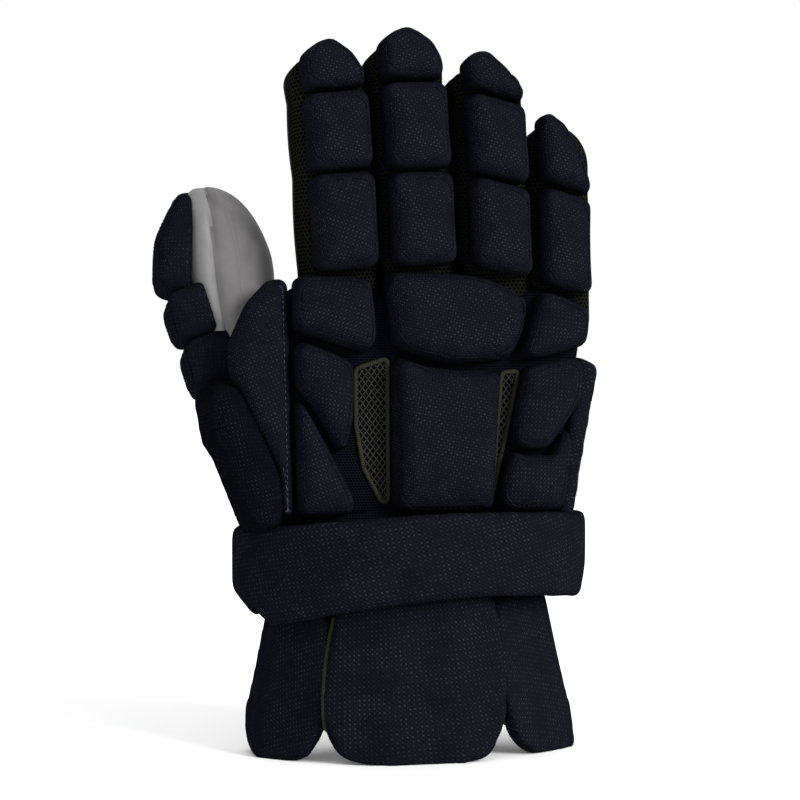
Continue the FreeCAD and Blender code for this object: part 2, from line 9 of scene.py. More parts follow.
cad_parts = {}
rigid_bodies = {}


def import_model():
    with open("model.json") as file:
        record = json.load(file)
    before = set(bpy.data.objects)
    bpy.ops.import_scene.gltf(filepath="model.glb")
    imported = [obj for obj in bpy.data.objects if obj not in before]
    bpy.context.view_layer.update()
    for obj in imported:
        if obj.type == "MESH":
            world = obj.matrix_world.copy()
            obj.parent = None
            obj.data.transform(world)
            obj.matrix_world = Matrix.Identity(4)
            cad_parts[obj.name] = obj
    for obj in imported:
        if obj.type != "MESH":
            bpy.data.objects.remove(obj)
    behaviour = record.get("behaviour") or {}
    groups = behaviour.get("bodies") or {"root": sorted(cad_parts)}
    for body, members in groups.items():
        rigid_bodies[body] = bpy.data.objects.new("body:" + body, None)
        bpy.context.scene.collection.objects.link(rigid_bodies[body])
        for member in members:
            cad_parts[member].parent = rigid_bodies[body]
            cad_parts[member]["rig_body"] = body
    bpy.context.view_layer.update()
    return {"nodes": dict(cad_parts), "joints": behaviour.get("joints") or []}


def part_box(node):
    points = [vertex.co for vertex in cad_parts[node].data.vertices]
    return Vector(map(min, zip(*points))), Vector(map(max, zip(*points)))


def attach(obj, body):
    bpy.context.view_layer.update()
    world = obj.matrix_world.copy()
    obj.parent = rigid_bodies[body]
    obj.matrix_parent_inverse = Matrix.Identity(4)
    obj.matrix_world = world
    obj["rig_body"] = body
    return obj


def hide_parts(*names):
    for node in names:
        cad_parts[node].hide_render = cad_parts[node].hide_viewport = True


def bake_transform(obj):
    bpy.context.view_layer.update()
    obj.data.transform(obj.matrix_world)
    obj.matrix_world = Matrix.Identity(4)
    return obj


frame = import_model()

MM = 0.001
ROLL_VOXEL = 1.1 * MM
ROLL_ROUNDS = 3  # smoothing passes that round a roll's edges
FULL = 0.40 * MM  # how far a pad's cover stands out, which makes up for the rounding
SIDE_BULGE = 0.5 * MM  # how far the sides of a pad swell between its face and its base
END_FILL = 1.5 * MM  # how far the face of a finger roll reaches into the gap at each of its ends
SQUARE = 1.0 * MM  # how far the corners of a finger roll are drawn out again after the rounding
SIM_SCALE = 10.0  # the cloth solver works better on a cushion-sized pad
SIM_PRESSURE = 4.0
SIM_FRAMES = 20
SIM_HELD = 0.22  # share of a pad's depth, from its base, that the simulation holds still
PUFF = 1.3 * MM  # the most that the simulation may swell a pad
STITCH_LENGTH = 1.7 * MM
STITCH_PITCH = 2.7 * MM
STITCH_RADIUS = 0.2 * MM
STITCH_SIDES = 5
STITCH_FLAT = 1.25  # a stitch's width over its height
# Along a stitch, in shares of its length and of its radius.
STITCH_PROFILE = ((-0.5, 0.0), (-0.36, 0.9), (0.0, 1.15), (0.36, 0.9), (0.5, 0.0))
X, Y, Z = np.eye(3)
NODE_BODY = {n: o["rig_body"] for n, o in frame["nodes"].items()}
THREE_BONES = ("base", "middle", "tip")
FINGERS = {"index": THREE_BONES, "middle": THREE_BONES, "ring": THREE_BONES, "little": ("base", "tip")}


# --- materials ------------------------------------------------------------------------------------
class Shader:
    """A material under construction. Values are numbers or sockets."""

    def __init__(self, name, roughness, specular):
        self.material = bpy.data.materials.new(name)
        self.material.use_nodes = True
        self.tree = self.material.node_tree
        self.bsdf = self.tree.nodes["Principled BSDF"]
        self.bsdf.inputs["Roughness"].default_value = roughness
        self.bsdf.inputs["Specular IOR Level"].default_value = specular

    def node(self, kind, inputs=(), **settings):
        made = self.tree.nodes.new("ShaderNode" + kind)
        for key, value in settings.items():
            setattr(made, key, value)
        for socket, value in dict(inputs).items():
            self.feed(made.inputs[socket], value)
        return made

    def feed(self, socket, value):
        if isinstance(value, bpy.types.NodeSocket):
            self.tree.links.new(value, socket)
        else:
            socket.default_value = value

    def math(self, operation, *values):
        return self.node("Math", enumerate(values), operation=operation).outputs[0]

    def times(self, a, b):
        return self.math("MULTIPLY", a, b)

    def plus(self, a, b):
        return self.math("ADD", a, b)

    def arch(self, value):
        """A half wave over each whole step of a value, from 0 up to 1 and back."""
        return self.math("SINE", self.times(self.math("FRACT", value), math.pi))

    def odd(self, value):
        """1 for an odd whole number, 0 for an even one."""
        return self.math("FLOORED_MODULO", value, 2.0)

    def span(self, value, low, high, to_low=0.0, to_high=1.0):
        inputs = {"Value": value, "From Min": low, "From Max": high, "To Min": to_low, "To Max": to_high}
        return self.node("MapRange", inputs, interpolation_type="SMOOTHSTEP").outputs["Result"]

    def blend(self, share, a, b):
        made = self.node("Mix", {0: share}, data_type="RGBA")
        self.feed(made.inputs[6], a)
        self.feed(made.inputs[7], b)
        return made.outputs[2]

    def cloth_place(self):
        """The piece's own flat cloth coordinates in millimetres, stored on its mesh."""
        place = self.node("Attribute", attribute_name="cloth").outputs["Vector"]
        split = self.node("SeparateXYZ", {0: place})
        return place, split.outputs[0], split.outputs[1]

    def noise(self, place, scale, detail=3.0, roughness=0.55):
        inputs = {"Vector": place, "Scale": scale, "Detail": detail, "Roughness": roughness}
        return self.node("TexNoise", inputs).outputs[0]

    def flecks(self, u, v):
        """A random number for each whole cell of a weave."""
        cell = self.node("CombineXYZ", {0: self.math("FLOOR", u), 1: self.math("FLOOR", v)})
        return self.node("TexWhiteNoise", {"Vector": cell.outputs[0]}, noise_dimensions="2D").outputs[0]

    def finish(self, colour, height, depth, roughness=None):
        """Links the colour, and the relief: height from 0 to 1 over a depth in millimetres."""
        self.feed(self.bsdf.inputs["Base Color"], colour)
        if roughness is not None:
            self.feed(self.bsdf.inputs["Roughness"], roughness)
        bump = self.node("Bump", {"Height": height, "Distance": depth * MM, "Strength": 1.0})
        self.tree.links.new(bump.outputs[0], self.bsdf.inputs["Normal"])
        return self.material


def rgb(r, g, b, share=1.0):
    return (r * share, g * share, b * share, 1.0)


def basket(s, u, v):
    """A plain weave with one yarn a unit: its height, and a random number for each crossing."""
    a, b = [s.math("MAXIMUM", s.arch(c), 0.0) for c in (u, v)]
    parity = s.odd(s.plus(s.math("FLOOR", u), s.math("FLOOR", v)))
    over = s.times(s.times(s.math("POWER", a, 0.5), b), parity)
    under = s.times(s.times(s.math("POWER", b, 0.5), a), s.math("SUBTRACT", 1.0, parity))
    return s.plus(over, s.times(under, 0.72)), s.flecks(u, v)


def shell_weave(name, gain):
    """Navy nylon basket weave with slow changes in tone, and a painted highlight that brightens the yarn
    crossings.
    """
    s = Shader(name, 0.5, 0.0)
    place, u, v = s.cloth_place()
    drift = s.noise(place, 0.09, 2.0)
    height, glint_random = basket(s, u, v)
    fine, _ = basket(s, s.times(u, 2.0), s.times(v, 2.0))
    # Painted highlight: the yarn crowns are coloured brighter, by a random amount at each crossing, in place
    # of a glint.
    crown = s.span(height, 0.55, 1.0)
    painted_highlight = s.times(crown, s.span(glint_random, 0.0, 1.0, 0.16, 0.85))
    painted_highlight = s.times(painted_highlight, s.span(drift, 0.36, 0.66, 0.35, 1.0))
    ground = s.blend(drift, rgb(0.0030, 0.0032, 0.0052, gain), rgb(0.0048, 0.0050, 0.0076, gain))
    # The painted highlight's paler colour is mixed into the navy ground.
    colour = s.blend(painted_highlight, ground, rgb(0.0220, 0.0228, 0.0290, gain))
    shine = s.span(painted_highlight, 0.0, 1.0, 0.62, 0.42)
    return s.finish(colour, s.plus(height, s.times(fine, 0.15)), 0.26, shine)


def knit(name, ground, strand, pitch, depth):
    """An open knit: rows of small holes, every other row shifted by half a cell."""
    s = Shader(name, 0.75, 0.0)
    place, u, v = s.cloth_place()
    row = s.math("DIVIDE", v, pitch)
    shift = s.times(s.odd(s.math("FLOOR", row)), 0.5)
    column = s.plus(s.math("DIVIDE", u, pitch * 1.15), shift)
    hole = s.span(s.times(s.arch(column), s.arch(row)), 0.35, 0.75)
    height = s.math("SUBTRACT", 1.0, hole)
    lit = s.blend(s.noise(place, 0.35), rgb(*strand), rgb(*strand, 0.55))
    return s.finish(s.blend(hole, lit, rgb(*ground)), height, depth)


def leather(name, light, dark, grain, depth, roughness):
    """Synthetic leather: fine grain, soft stains and a slightly polished crown."""
    s = Shader(name, roughness, 0.15)
    place, _, _ = s.cloth_place()
    stain = s.noise(place, 0.05)
    pores = s.node("TexVoronoi", {"Vector": place, "Scale": grain}).outputs["Distance"]
    fine = s.noise(place, grain * 0.8, 4.0)
    tone = s.times(s.span(stain, 0.3, 0.7), s.span(fine, 0.2, 0.8, 0.75, 1.0))
    relief = s.plus(s.times(pores, 0.6), s.times(fine, 0.6))
    rough = s.span(fine, 0.3, 0.7, roughness - 0.07, roughness + 0.1)
    return s.finish(s.blend(tone, rgb(*dark), rgb(*light)), relief, depth, rough)


def yarn(name, colour, ribs, depth):
    """Thread, binding and webbing: ribs across the cloth's length, with painted shade in the grooves between
    them.
    """
    s = Shader(name, 0.65, 0.0)
    place, u, v = s.cloth_place()
    wave = s.math("SINE", s.times(s.plus(v, s.times(u, 0.35)), 2 * math.pi / ribs))
    height = s.span(wave, -1.0, 1.0)
    # Painted shade in the grooves: the colour darkens where the ribs dip, and varies at random on their
    # crowns.
    tone = s.span(s.times(s.noise(place, 0.6), height), 0.0, 0.6)
    return s.finish(s.blend(tone, rgb(*colour, 0.45), rgb(*colour)), height, depth)


def moulded(name, colour, roughness):
    """Moulded plastic or a rubbery print: fine speckle and light scuffs."""
    s = Shader(name, roughness, 0.4)
    place = s.node("TexCoord").outputs["Object"]
    fine = s.noise(place, 2200.0)
    scuff = s.noise(place, 160.0, 4.0)
    shine = s.span(scuff, 0.3, 0.7, roughness - 0.1, roughness + 0.12)
    tone = s.span(scuff, 0.35, 0.65)
    return s.finish(s.blend(tone, rgb(*colour, 0.78), rgb(*colour)), fine, 0.04, shine)


def pile(name, colour, scale, depth):
    """Hook or loop tape: a dense field of small bumps, with painted shade between them."""
    s = Shader(name, 0.8, 0.0)
    place, _, _ = s.cloth_place()
    dots = s.node("TexVoronoi", {"Vector": place, "Scale": scale}).outputs["Distance"]
    height = s.span(dots, 0.6, 0.05)
    # Painted shade: the colour darkens to about a third at the feet of the bumps.
    return s.finish(s.blend(height, rgb(*colour, 0.35), rgb(*colour)), height, depth)


# Each look: its kind, its colours (linear), then its pitch or grain and its depth in mm, or its roughness.
LOOKS = {name: kind(name, *values) for name, kind, *values in (
    ("shell_weave", shell_weave, 1.12),
    # a darker copy of the shell weave: painted shade, for the thumb's side pad, which turns away from the
    # light
    ("shaded_weave", shell_weave, 0.6),
    ("finger_knit", knit, (0.0006, 0.0006, 0.0005), (0.0095, 0.0095, 0.0068), 1.7, 0.35),
    ("liner_knit", knit, (0.0008, 0.0008, 0.0012), (0.0045, 0.0050, 0.0075), 1.2, 0.2),
    ("vent_mesh", yarn, (0.036, 0.036, 0.030), 0.8, 0.05),
    ("lining", knit, (0.002, 0.002, 0.0025), (0.011, 0.012, 0.015), 1.0, 0.15),
    ("palm_leather", leather, (0.020, 0.020, 0.024), (0.010, 0.010, 0.013), 1.1, 0.12, 0.72),
    ("palm_overlay", leather, (0.013, 0.013, 0.016), (0.006, 0.006, 0.008), 1.6, 0.10, 0.62),
    ("thumb_leather", leather, (0.185, 0.183, 0.184), (0.150, 0.148, 0.149), 1.4, 0.05, 0.6),
    # a darker copy of the thumb leather: painted shade on its panel past the seam, as if turned from the
    # light
    ("thumb_leather_side", leather, (0.125, 0.121, 0.121), (0.095, 0.092, 0.092), 1.4, 0.05, 0.6),
    ("insert_plastic", moulded, (0.03, 0.03, 0.034), 0.5),
    ("stripe", moulded, (0.60, 0.60, 0.60), 0.45),
    ("hook_tape", pile, (0.010, 0.010, 0.012), 1.1, 0.5),
    ("loop_tape", pile, (0.014, 0.014, 0.017), 1.8, 0.4),
    ("strap_webbing", yarn, (0.011, 0.012, 0.017), 1.6, 0.25),
    ("thread", yarn, (0.009, 0.010, 0.016), 0.5, 0.05),
    # a brighter copy of the navy thread: a painted highlight on the web's stitches
    ("bright_thread", yarn, (0.045, 0.048, 0.060), 0.5, 0.05),
    ("pale_thread", yarn, (0.17, 0.17, 0.175), 0.5, 0.05),
    ("binding", yarn, (0.030, 0.030, 0.022), 0.9, 0.1),
)}


# --- mesh arrays ----------------------------------------------------------------------------------
def arrays(mesh):
    co = np.empty(len(mesh.vertices) * 3)
    mesh.vertices.foreach_get("co", co)
    return co.reshape(-1, 3), [tuple(p.vertices) for p in mesh.polygons]


def solid(node):
    """The points and faces of a CAD node."""
    return arrays(frame["nodes"][node].data)


def circle(count):
    return np.linspace(0, 2 * math.pi, count, endpoint=False)


def new_object(name, co, faces):
    mesh = bpy.data.meshes.new(name)
    mesh.from_pydata([tuple(c) for c in co], [], faces)
    mesh.update()
    made = bpy.data.objects.new(name, mesh)
    bpy.context.scene.collection.objects.link(made)
    return made


def drop(made):
    mesh = made.data
    bpy.data.objects.remove(made)
    bpy.data.meshes.remove(mesh)


def evaluated(made):
    graph = bpy.context.evaluated_depsgraph_get()
    result = made.evaluated_get(graph)
    found = arrays(result.to_mesh())
    result.to_mesh_clear()
    return found


def through(co, faces, kind, **settings):
    """The arrays after one modifier."""
    made = new_object("work", co, faces)
    modifier = made.modifiers.new("work", kind)
    for key, value in settings.items():
        setattr(modifier, key, value)
    found = evaluated(made)
    drop(made)
    return found


def remeshed(co, faces, voxel):
    return through(co, faces, "REMESH", mode="VOXEL", voxel_size=voxel)


def subdivided(co, faces):
    return through(co, faces, "SUBSURF", levels=1)


def sides_of(face):
    return zip(face, face[1:] + face[:1])


def smoothed(co, faces, rounds):
    """Moves each point halfway to the mean of its neighbours, some times over."""
    pairs = np.array(sorted({(min(a, b), max(a, b)) for face in faces for a, b in sides_of(face)}))
    ends = np.concatenate([pairs, pairs[:, ::-1]])
    count = np.bincount(ends[:, 0], minlength=len(co)).astype(float)
    co = co.copy()
    for _ in range(rounds):
        mean = np.stack([np.bincount(ends[:, 0], co[ends[:, 1], k], len(co)) for k in range(3)], 1)
        co += (mean / count[:, None] - co) * 0.5
    return co


def point_normals(co, faces):
    normals = np.zeros_like(co)
    for size in (3, 4):
        chosen = np.array([f for f in faces if len(f) == size])
        if not len(chosen):
            continue
        across = np.cross(co[chosen[:, 2]] - co[chosen[:, 0]], co[chosen[:, -1]] - co[chosen[:, 1]])
        for k in range(size):
            for axis in range(3):
                normals[:, axis] += np.bincount(chosen[:, k], across[:, axis], len(co))
    return normals / np.maximum(np.linalg.norm(normals, axis=1), 1e-12)[:, None]


def unit(v):
    v = np.asarray(v, float)
    return v / np.linalg.norm(v)


def soft_step(t):
    t = np.clip(t, 0.0, 1.0)
    return t * t * (3 - 2 * t)


# --- pieces ---------------------------------------------------------------------------------------
def piece(name, co, faces, look, body=None, replaces=(), cloth=None):
    """A finished mesh piece. cloth is each point's place on the flat cloth, in metres."""
    made = new_object(name, co, faces)
    mesh = made.data
    mesh.materials.append(LOOKS[look])
    mesh.polygons.foreach_set("use_smooth", [True] * len(mesh.polygons))
    if cloth is None:
        cloth = co
    flat = np.zeros((len(co), 3), np.float32)
    flat[:, :cloth.shape[1]] = cloth / MM
    mesh.attributes.new("cloth", "FLOAT_VECTOR", "POINT").data.foreach_set("vector", flat.ravel())
    if replaces:
        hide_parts(*replaces)
    if body:
        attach(made, body)
    return made


def turned(cloth, degrees):
    """Cloth coordinates turned in their plane, as a panel cut at an angle to its weave."""
    c, s = math.cos(math.radians(degrees)), math.sin(math.radians(degrees))
    return np.stack([cloth[:, 0] * c - cloth[:, 1] * s, cloth[:, 0] * s + cloth[:, 1] * c], 1)


WEAVE_PITCH = 1.35  # mm from yarn to yarn; the shader counts in yarns


def flat_groups(node):
    """The node's flat faces by plane: (area, normal times area, polygons), largest first."""
    groups = {}
    mesh = frame["nodes"][node].data
    for p in mesh.polygons:
        offset = p.center.dot(p.normal)
        key = (*[round(c, 2) for c in p.normal], round(offset / MM / 0.5))
        group = groups.setdefault(key, [0.0, np.zeros(3), []])
        group[0] += p.area
        group[1] += np.array(p.normal) * p.area
        group[2].append(p.index)
    return sorted(groups.values(), key=lambda g: -g[0])


def pad_axes(node):
    """Rows x (across), y (into the hand) and z (up) of a pad, and the middle of its flat base."""
    co, faces = solid(node)
    _, normal, polygons = flat_groups(node)[0]
    y = unit(normal)
    z = unit(Z - y * y[2])
    base = np.array([co[i] for p in polygons for i in faces[p]])
    middle = (base.min(0) + base.max(0)) / 2
    return np.array([np.cross(y, z), y, z]), middle


def open_edges(faces):
    """Directed edges that only one face uses."""
    uses = {}
    for face in faces:
        for a, b in sides_of(face):
            if (b, a) in uses:
                del uses[(b, a)]
            else:
                uses[(a, b)] = True
    return list(uses)


def boundary_loops(co, faces):
    """The closed outlines of a set of faces, as point rows in order."""
    keys = [tuple(np.round(c / MM, 2)) for c in co]
    place = {keys[i]: co[i] for face in faces for i in face}
    following = dict(open_edges([tuple(keys[i] for i in face) for face in faces]))
    loops = []
    while following:
        here = next(iter(following))
        loop = []
        while here in following:
            loop.append(place[here])
            here = following.pop(here)
        if len(loop) > 2:
            loops.append(np.array(loop))
    return loops


def resampled(loop, pitch, closed=True):
    """Points at an even pitch along a line."""
    path = np.vstack([loop, loop[:1]]) if closed else np.asarray(loop)
    lengths = np.concatenate([[0], np.cumsum(np.linalg.norm(np.diff(path, axis=0), axis=1))])
    count = max(3, int(round(lengths[-1] / pitch)))
    at = np.linspace(0, lengths[-1], count, endpoint=not closed)
    return np.stack([np.interp(at, lengths, path[:, k]) for k in range(3)], 1)


FACE_HEIGHT = 3 * MM  # a pad's face lies at least this far above its base
SEAM_INSET = 1.1 * MM  # from the edge of a pad's face to its stitch line
SEAM_SINK, SEAM_WIDTH = 0.28 * MM, 0.8 * MM  # how deep and wide the cover is drawn in along it
STITCHING = {}  # (body, thread) -> lists of stitch points and faces


def add_stitches(body, thread, points, normals, closed=True):
    """A row of short raised stitches along points on a surface."""
    co_list, face_list = STITCHING.setdefault((body, thread), ([], []))
    count = len(points)
    sides, turn = STITCH_SIDES, circle(STITCH_SIDES)
    for i in range(count if closed else count - 1):
        along = unit(points[(i + 1) % count] - points[i - 1 if i or closed else 0])
        out = unit(normals[i] - along * np.dot(normals[i], along))
        side = np.cross(out, along)
        start = sum(len(c) for c in co_list)
        rows = []
        for t, r in STITCH_PROFILE:
            centre = points[i] + along * t * STITCH_LENGTH + out * STITCH_RADIUS * (0.55 - abs(t) * 1.1)
            if r == 0.0:
                rows.append(centre[None])
                continue
            rows.append(np.array([centre + (side * math.cos(a) * STITCH_FLAT + out * math.sin(a))
                                  * STITCH_RADIUS * r for a in turn]))
        co_list.append(np.vstack(rows))
        last = start + 1 + 3 * sides
        for k in range(sides):
            n = (k + 1) % sides
            face_list.append((start, start + 1 + n, start + 1 + k))
            for row in (0, 1):
                low = start + 1 + row * sides
                face_list.append((low + k, low + n, low + sides + n, low + sides + k))
            face_list.append((last - sides + k, last - sides + n, last))


def make_stitching():
    for (body, thread), (co_list, face_list) in sorted(STITCHING.items()):
        co = np.vstack(co_list)
        piece(f"{body}_{thread}_stitching", co, face_list, thread, body)


def surface(co, faces):
    return BVHTree.FromPolygons([tuple(c) for c in co], faces)


def eased(loop, rounds):
    """A closed line with its corners smoothed."""
    for _ in range(rounds):
        loop = 0.5 * loop + 0.25 * (np.roll(loop, 1, 0) + np.roll(loop, -1, 0))
    return loop


def dropped(tree, point, outward, reach=30 * MM):
    """Where a point lands on a surface from outside, and the normal there; None and None if it misses."""
    return tree.ray_cast(Vector(point + outward * reach), Vector(-outward), 3 * reach)[:2]


def on_surface(tree, points, outward):
    """The points that land on the surface, and its normals there."""
    landed, normals = [], []
    for p in points:
        hit, normal = dropped(tree, p, outward)
        if hit is not None:
            landed.append(np.array(hit))
            normals.append(np.array(normal))
    return np.array(landed), np.array(normals)


# --- pads -----------------------------------------------------------------------------------------
ROLLS = [n for n in frame["nodes"] if n.endswith(("_roll", "_pad", "_cap")) or n == "thumb_web"]
# Pads that reach beyond their CAD solid to meet their neighbours: how much wider each is, how far its
# base sinks in (mm), how much thinner it gets towards its upper end, and how far its lower and its upper
# end reach (mm).
REACH = {"thumb_tip_cap": (1.27, 1.5, 0.60, 5.0, 1.0), "thumb_middle_roll": (1.30, 4.0, 0.0, 1.5, 3.5),
         "thumb_base_roll": (1.30, 10.0, 0.0, 4.5, 1.5), "thumb_side_pad": (1.25, 0.0, 0.0, 8.0, 9.0),
         "thumb_web": (1.04, 2.0, 0.0, 1.0, 1.0)}
USUAL_CROWN = 0.9  # mm that a pad's face rises to its middle
CROWN = {"thumb_side_pad": 2.0, "thumb_web": 0.8, "centre_knuckle_pad": 1.3, "centre_metacarpal_pad": 1.0}
# Smoothing passes of the rounder pads.
EDGE_ROUNDS = {"thumb_side_pad": 6, "thumb_web": 4, "thumb_tip_cap": 6, "thumb_middle_roll": 5,
               "thumb_base_roll": 5, **{f"{finger}_tip_roll": 6 for finger in FINGERS}}
USUAL_TURN = 12  # degrees between a pad's cloth and its length
WEAVE_TURN = {"index_base_roll": -28, "thumb_side_pad": 35, "thumb_web": 20, "index_wrist_pad": 28,
              "index_metacarpal_pad": -35, "index_knuckle_pad": -30, "outer_metacarpal_pad": -38,
              "little_knuckle_pad": -38, "outer_wrist_pad": -40, "thumb_middle_roll": 40,
              "thumb_base_roll": 40, "thumb_tip_cap": 30}


def start_pad(node):
    """The pad's CAD solid in its own axes, evenly remeshed, with its edges rounded and its face crowned."""
    axes, middle = pad_axes(node)
    co, faces = solid(node)
    local = (co - middle) @ axes.T
    low, high = local.min(0), local.max(0)
    local, faces = remeshed(local, faces, ROLL_VOXEL)
    local = smoothed(local, faces, EDGE_ROUNDS.get(node, ROLL_ROUNDS))
    centre, half = (low + high) / 2, (high - low) / 2
    across, along = (local[:, 0] - centre[0]) / half[0], (local[:, 2] - centre[2]) / half[2]
    dome = np.clip(1 - across ** 2, 0, 1) * np.clip(1 - along ** 2, 0, 1)
    height = local[:, 1] / low[1]
    out = point_normals(local, faces)
    local += out * FULL
    sideways = out * np.array([1.0, 0.0, 1.0])
    swell = np.sin(math.pi * np.clip(height, 0, 1)) ** 0.7
    local += sideways * (SIDE_BULGE * swell)[:, None]
    local[:, 1] -= CROWN.get(node, USUAL_CROWN) * MM * dome * soft_step((height - 0.45) / 0.4)
    if node.split("_")[0] in FINGERS and node.endswith("roll"):
        local[:, 2] += np.clip(along, -1, 1) * END_FILL * np.clip(height, 0, 1)
        corner = np.clip(across * along, -1, 1) ** 2
        if "tip" in node:  # the top of a tip roll stays round
            corner = corner * np.clip(-along, 0, 1)
        local[:, 0] += np.sign(across) * corner * SQUARE
        local[:, 2] += np.sign(along) * corner * SQUARE
    if node in REACH:
        wider, sunk, thinner, lower, upper = REACH[node]
        local[:, 0] = centre[0] + (local[:, 0] - centre[0]) * wider
        local[:, 1] *= 1 - thinner * soft_step((along + 0.15) / 1.15)
        local[:, 1] += sunk * MM * np.clip(1 - height, 0, 1)
        local[:, 2] += np.where(along > 0, upper, lower) * MM * along
    return dict(node=node, axes=axes, middle=middle, co=local, faces=faces, depth=-low[1])


def puff(pads):
    """Blows all the pads up a little with the cloth solver; their bases stay where they are."""
    offsets = np.cumsum([0] + [len(p["co"]) for p in pads])
    co = np.vstack([p["co"] for p in pads]) * SIM_SCALE
    faces = [tuple(i + o for i in f) for p, o in zip(pads, offsets) for f in p["faces"]]
    made = new_object("puffing", co, faces)
    held = made.vertex_groups.new(name="held")
    fixed = np.concatenate([p["co"][:, 1] > -SIM_HELD * p["depth"] for p in pads])
    held.add([int(i) for i in np.nonzero(fixed)[0]], 1.0, "REPLACE")
    modifier = made.modifiers.new("cloth", "CLOTH")
    settings = modifier.settings
    settings.quality = 4
    settings.mass = 0.3
    settings.tension_stiffness = settings.compression_stiffness = 12
    settings.bending_stiffness = 1.5
    settings.vertex_group_mass = "held"
    settings.use_pressure = True
    settings.uniform_pressure_force = SIM_PRESSURE
    settings.effector_weights.gravity = 0.0
    modifier.collision_settings.use_collision = False
    scene = bpy.context.scene
    scene.frame_start, scene.frame_end = 1, SIM_FRAMES
    for number in range(1, SIM_FRAMES + 1):
        scene.frame_set(number)
    after, _ = evaluated(made)
    scene.frame_set(1)
    drop(made)
    move = (after - co) / SIM_SCALE
    length = np.linalg.norm(move, axis=1)
    move *= (PUFF * np.tanh(length / PUFF) / np.maximum(length, 1e-9))[:, None]
    for p, a, b in zip(pads, offsets, offsets[1:]):
        p["co"] = p["co"] + smoothed(move[a:b], p["faces"], 2)


def pad_cloth(local, normals, degrees):
    """The woven cover unrolled from the pad's face over its sides."""
    face = local[:, 1].min()
    deep = local[:, 1] - face
    flat = normals[:, [0, 2]]
    size = np.maximum(np.linalg.norm(flat, axis=1), 1e-6)
    lean = soft_step(size / 0.7) / size
    cloth = local[:, [0, 2]] + flat * (deep * lean)[:, None]
    return turned(cloth, degrees) / WEAVE_PITCH


def finish_pad(pad):
    node, axes, middle = pad["node"], pad["axes"], pad["middle"]
    local, faces = subdivided(pad["co"], pad["faces"])
    seam = top_seam(node, axes, middle)
    tree = surface(local, faces)
    points, normals = on_surface(tree, seam, -Y)
    gap = np.full(len(local), 1.0)
    for p in points:
        gap = np.minimum(gap, np.linalg.norm(local - p, axis=1))
    out = point_normals(local, faces)
    local = local - out * (SEAM_SINK * np.exp(-(gap / SEAM_WIDTH) ** 2))[:, None]
    cloth = pad_cloth(local, out, WEAVE_TURN.get(node, USUAL_TURN))
    # The thumb's side pad gets the darker copy of the weave: painted shade.
    look = "shaded_weave" if node == "thumb_side_pad" else "shell_weave"
    place = local @ axes + middle
    piece(f"{node}_cover", place, faces, look, NODE_BODY[node], (node,), cloth)
    stitched, outwards = points @ axes + middle, normals @ axes
    if node == "thumb_web":  # only its edge beside the knuckle is sewn with a thread that shows, in a brighter copy of the thread: a painted highlight
        keep = np.nonzero(points[:, 0] > points[:, 0].max() - 2 * MM)[0]
        keep = keep[np.argsort(points[keep, 2])]
        add_stitches("hand", "bright_thread", stitched[keep], outwards[keep], False)
    elif node != "thumb_side_pad":
        add_stitches(NODE_BODY[node], "thread", stitched, outwards)


def top_seam(node, axes, middle):
    """The stitch line just inside the edge of the pad's face, in the pad's axes."""
    co, faces = solid(node)
    local = (co - middle) @ axes.T
    top = [f for f in faces if local[list(f), 1].max() < -FACE_HEIGHT]
    loops = boundary_loops(local, top)
    loop = eased(resampled(max(loops, key=len), STITCH_PITCH), 6)
    ahead = np.roll(loop, -1, 0) - np.roll(loop, 1, 0)
    inwards = np.cross(ahead, Y)
    inwards /= np.maximum(np.linalg.norm(inwards, axis=1), 1e-9)[:, None]
    if np.dot((loop.mean(0) - loop[0]), inwards[0]) < 0:
        inwards = -inwards
    return loop + inwards * SEAM_INSET


pads = [start_pad(n) for n in sorted(ROLLS)]
puff(pads)
for pad in pads:
    finish_pad(pad)


# --- tubes of cloth -------------------------------------------------------------------------------
def ring_faces(rings, points, closed=True):
    faces = []
    for r in range(rings - 1):
        for k in range(points if closed else points - 1):
            n = (k + 1) % points
            a, b = r * points, (r + 1) * points
            faces.append((a + k, a + n, b + n, b + k))
    return faces


def oval(points, power):
    """A rounded rectangle of half size 1, starting at +x and passing -y (the back) first."""
    t = -circle(points)
    c, s = np.cos(t), np.sin(t)
    return np.stack([np.sign(c) * np.abs(c) ** (2 / power), np.sign(s) * np.abs(s) ** (2 / power)], 1)


def thick_skin(co, rings, points, wall, closed=True):
    """A sheet of rings with an inner side, joined round its open edges."""
    faces = ring_faces(rings, points, closed)
    inner = co - point_normals(co, faces) * wall
    shift = len(co)
    back = [tuple(i + shift for i in f[::-1]) for f in faces]
    rim = [(b, a, a + shift, b + shift) for a, b in open_edges(faces)]
    return np.vstack([co, inner]), faces + back + rim


def on_cloth(ring, run):
    """A ring's points on the flat cloth: the way round it, and how far along it lies."""
    girth = np.concatenate([[0], np.cumsum(np.linalg.norm(np.diff(ring, axis=0), axis=1))])
    return np.stack([girth, np.full(len(ring), run)], 1)


def loft(name, rings, flats, wall, look, body=None, replaces=()):
    """A piece of cloth through rings, with a wall, in the given look."""
    skin, faces = thick_skin(np.vstack(rings), len(rings), len(rings[0]), wall)
    return piece(name, skin, faces, look, body, replaces, np.vstack(flats + flats))


def bend(made):
    """Bakes the piece's placement into its points."""
    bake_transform(made)


def segment_axes(body, roll):
    """Rows x, y (palm), z (along) of a finger or thumb segment, and its joint's place."""
    joint = next(j for j in frame["joints"] if j["child"] == body)
    x = -unit(joint["axis"])
    y = pad_axes(roll)[0][1]
    y = unit(y - x * np.dot(x, y))
    return np.array([x, y, np.cross(x, y)]), np.array(joint["pos_m"])


def sleeve_size(node, axes, at):
    co, _ = solid(node)
    local = (co - at) @ axes.T
    return local.min(0), local.max(0)


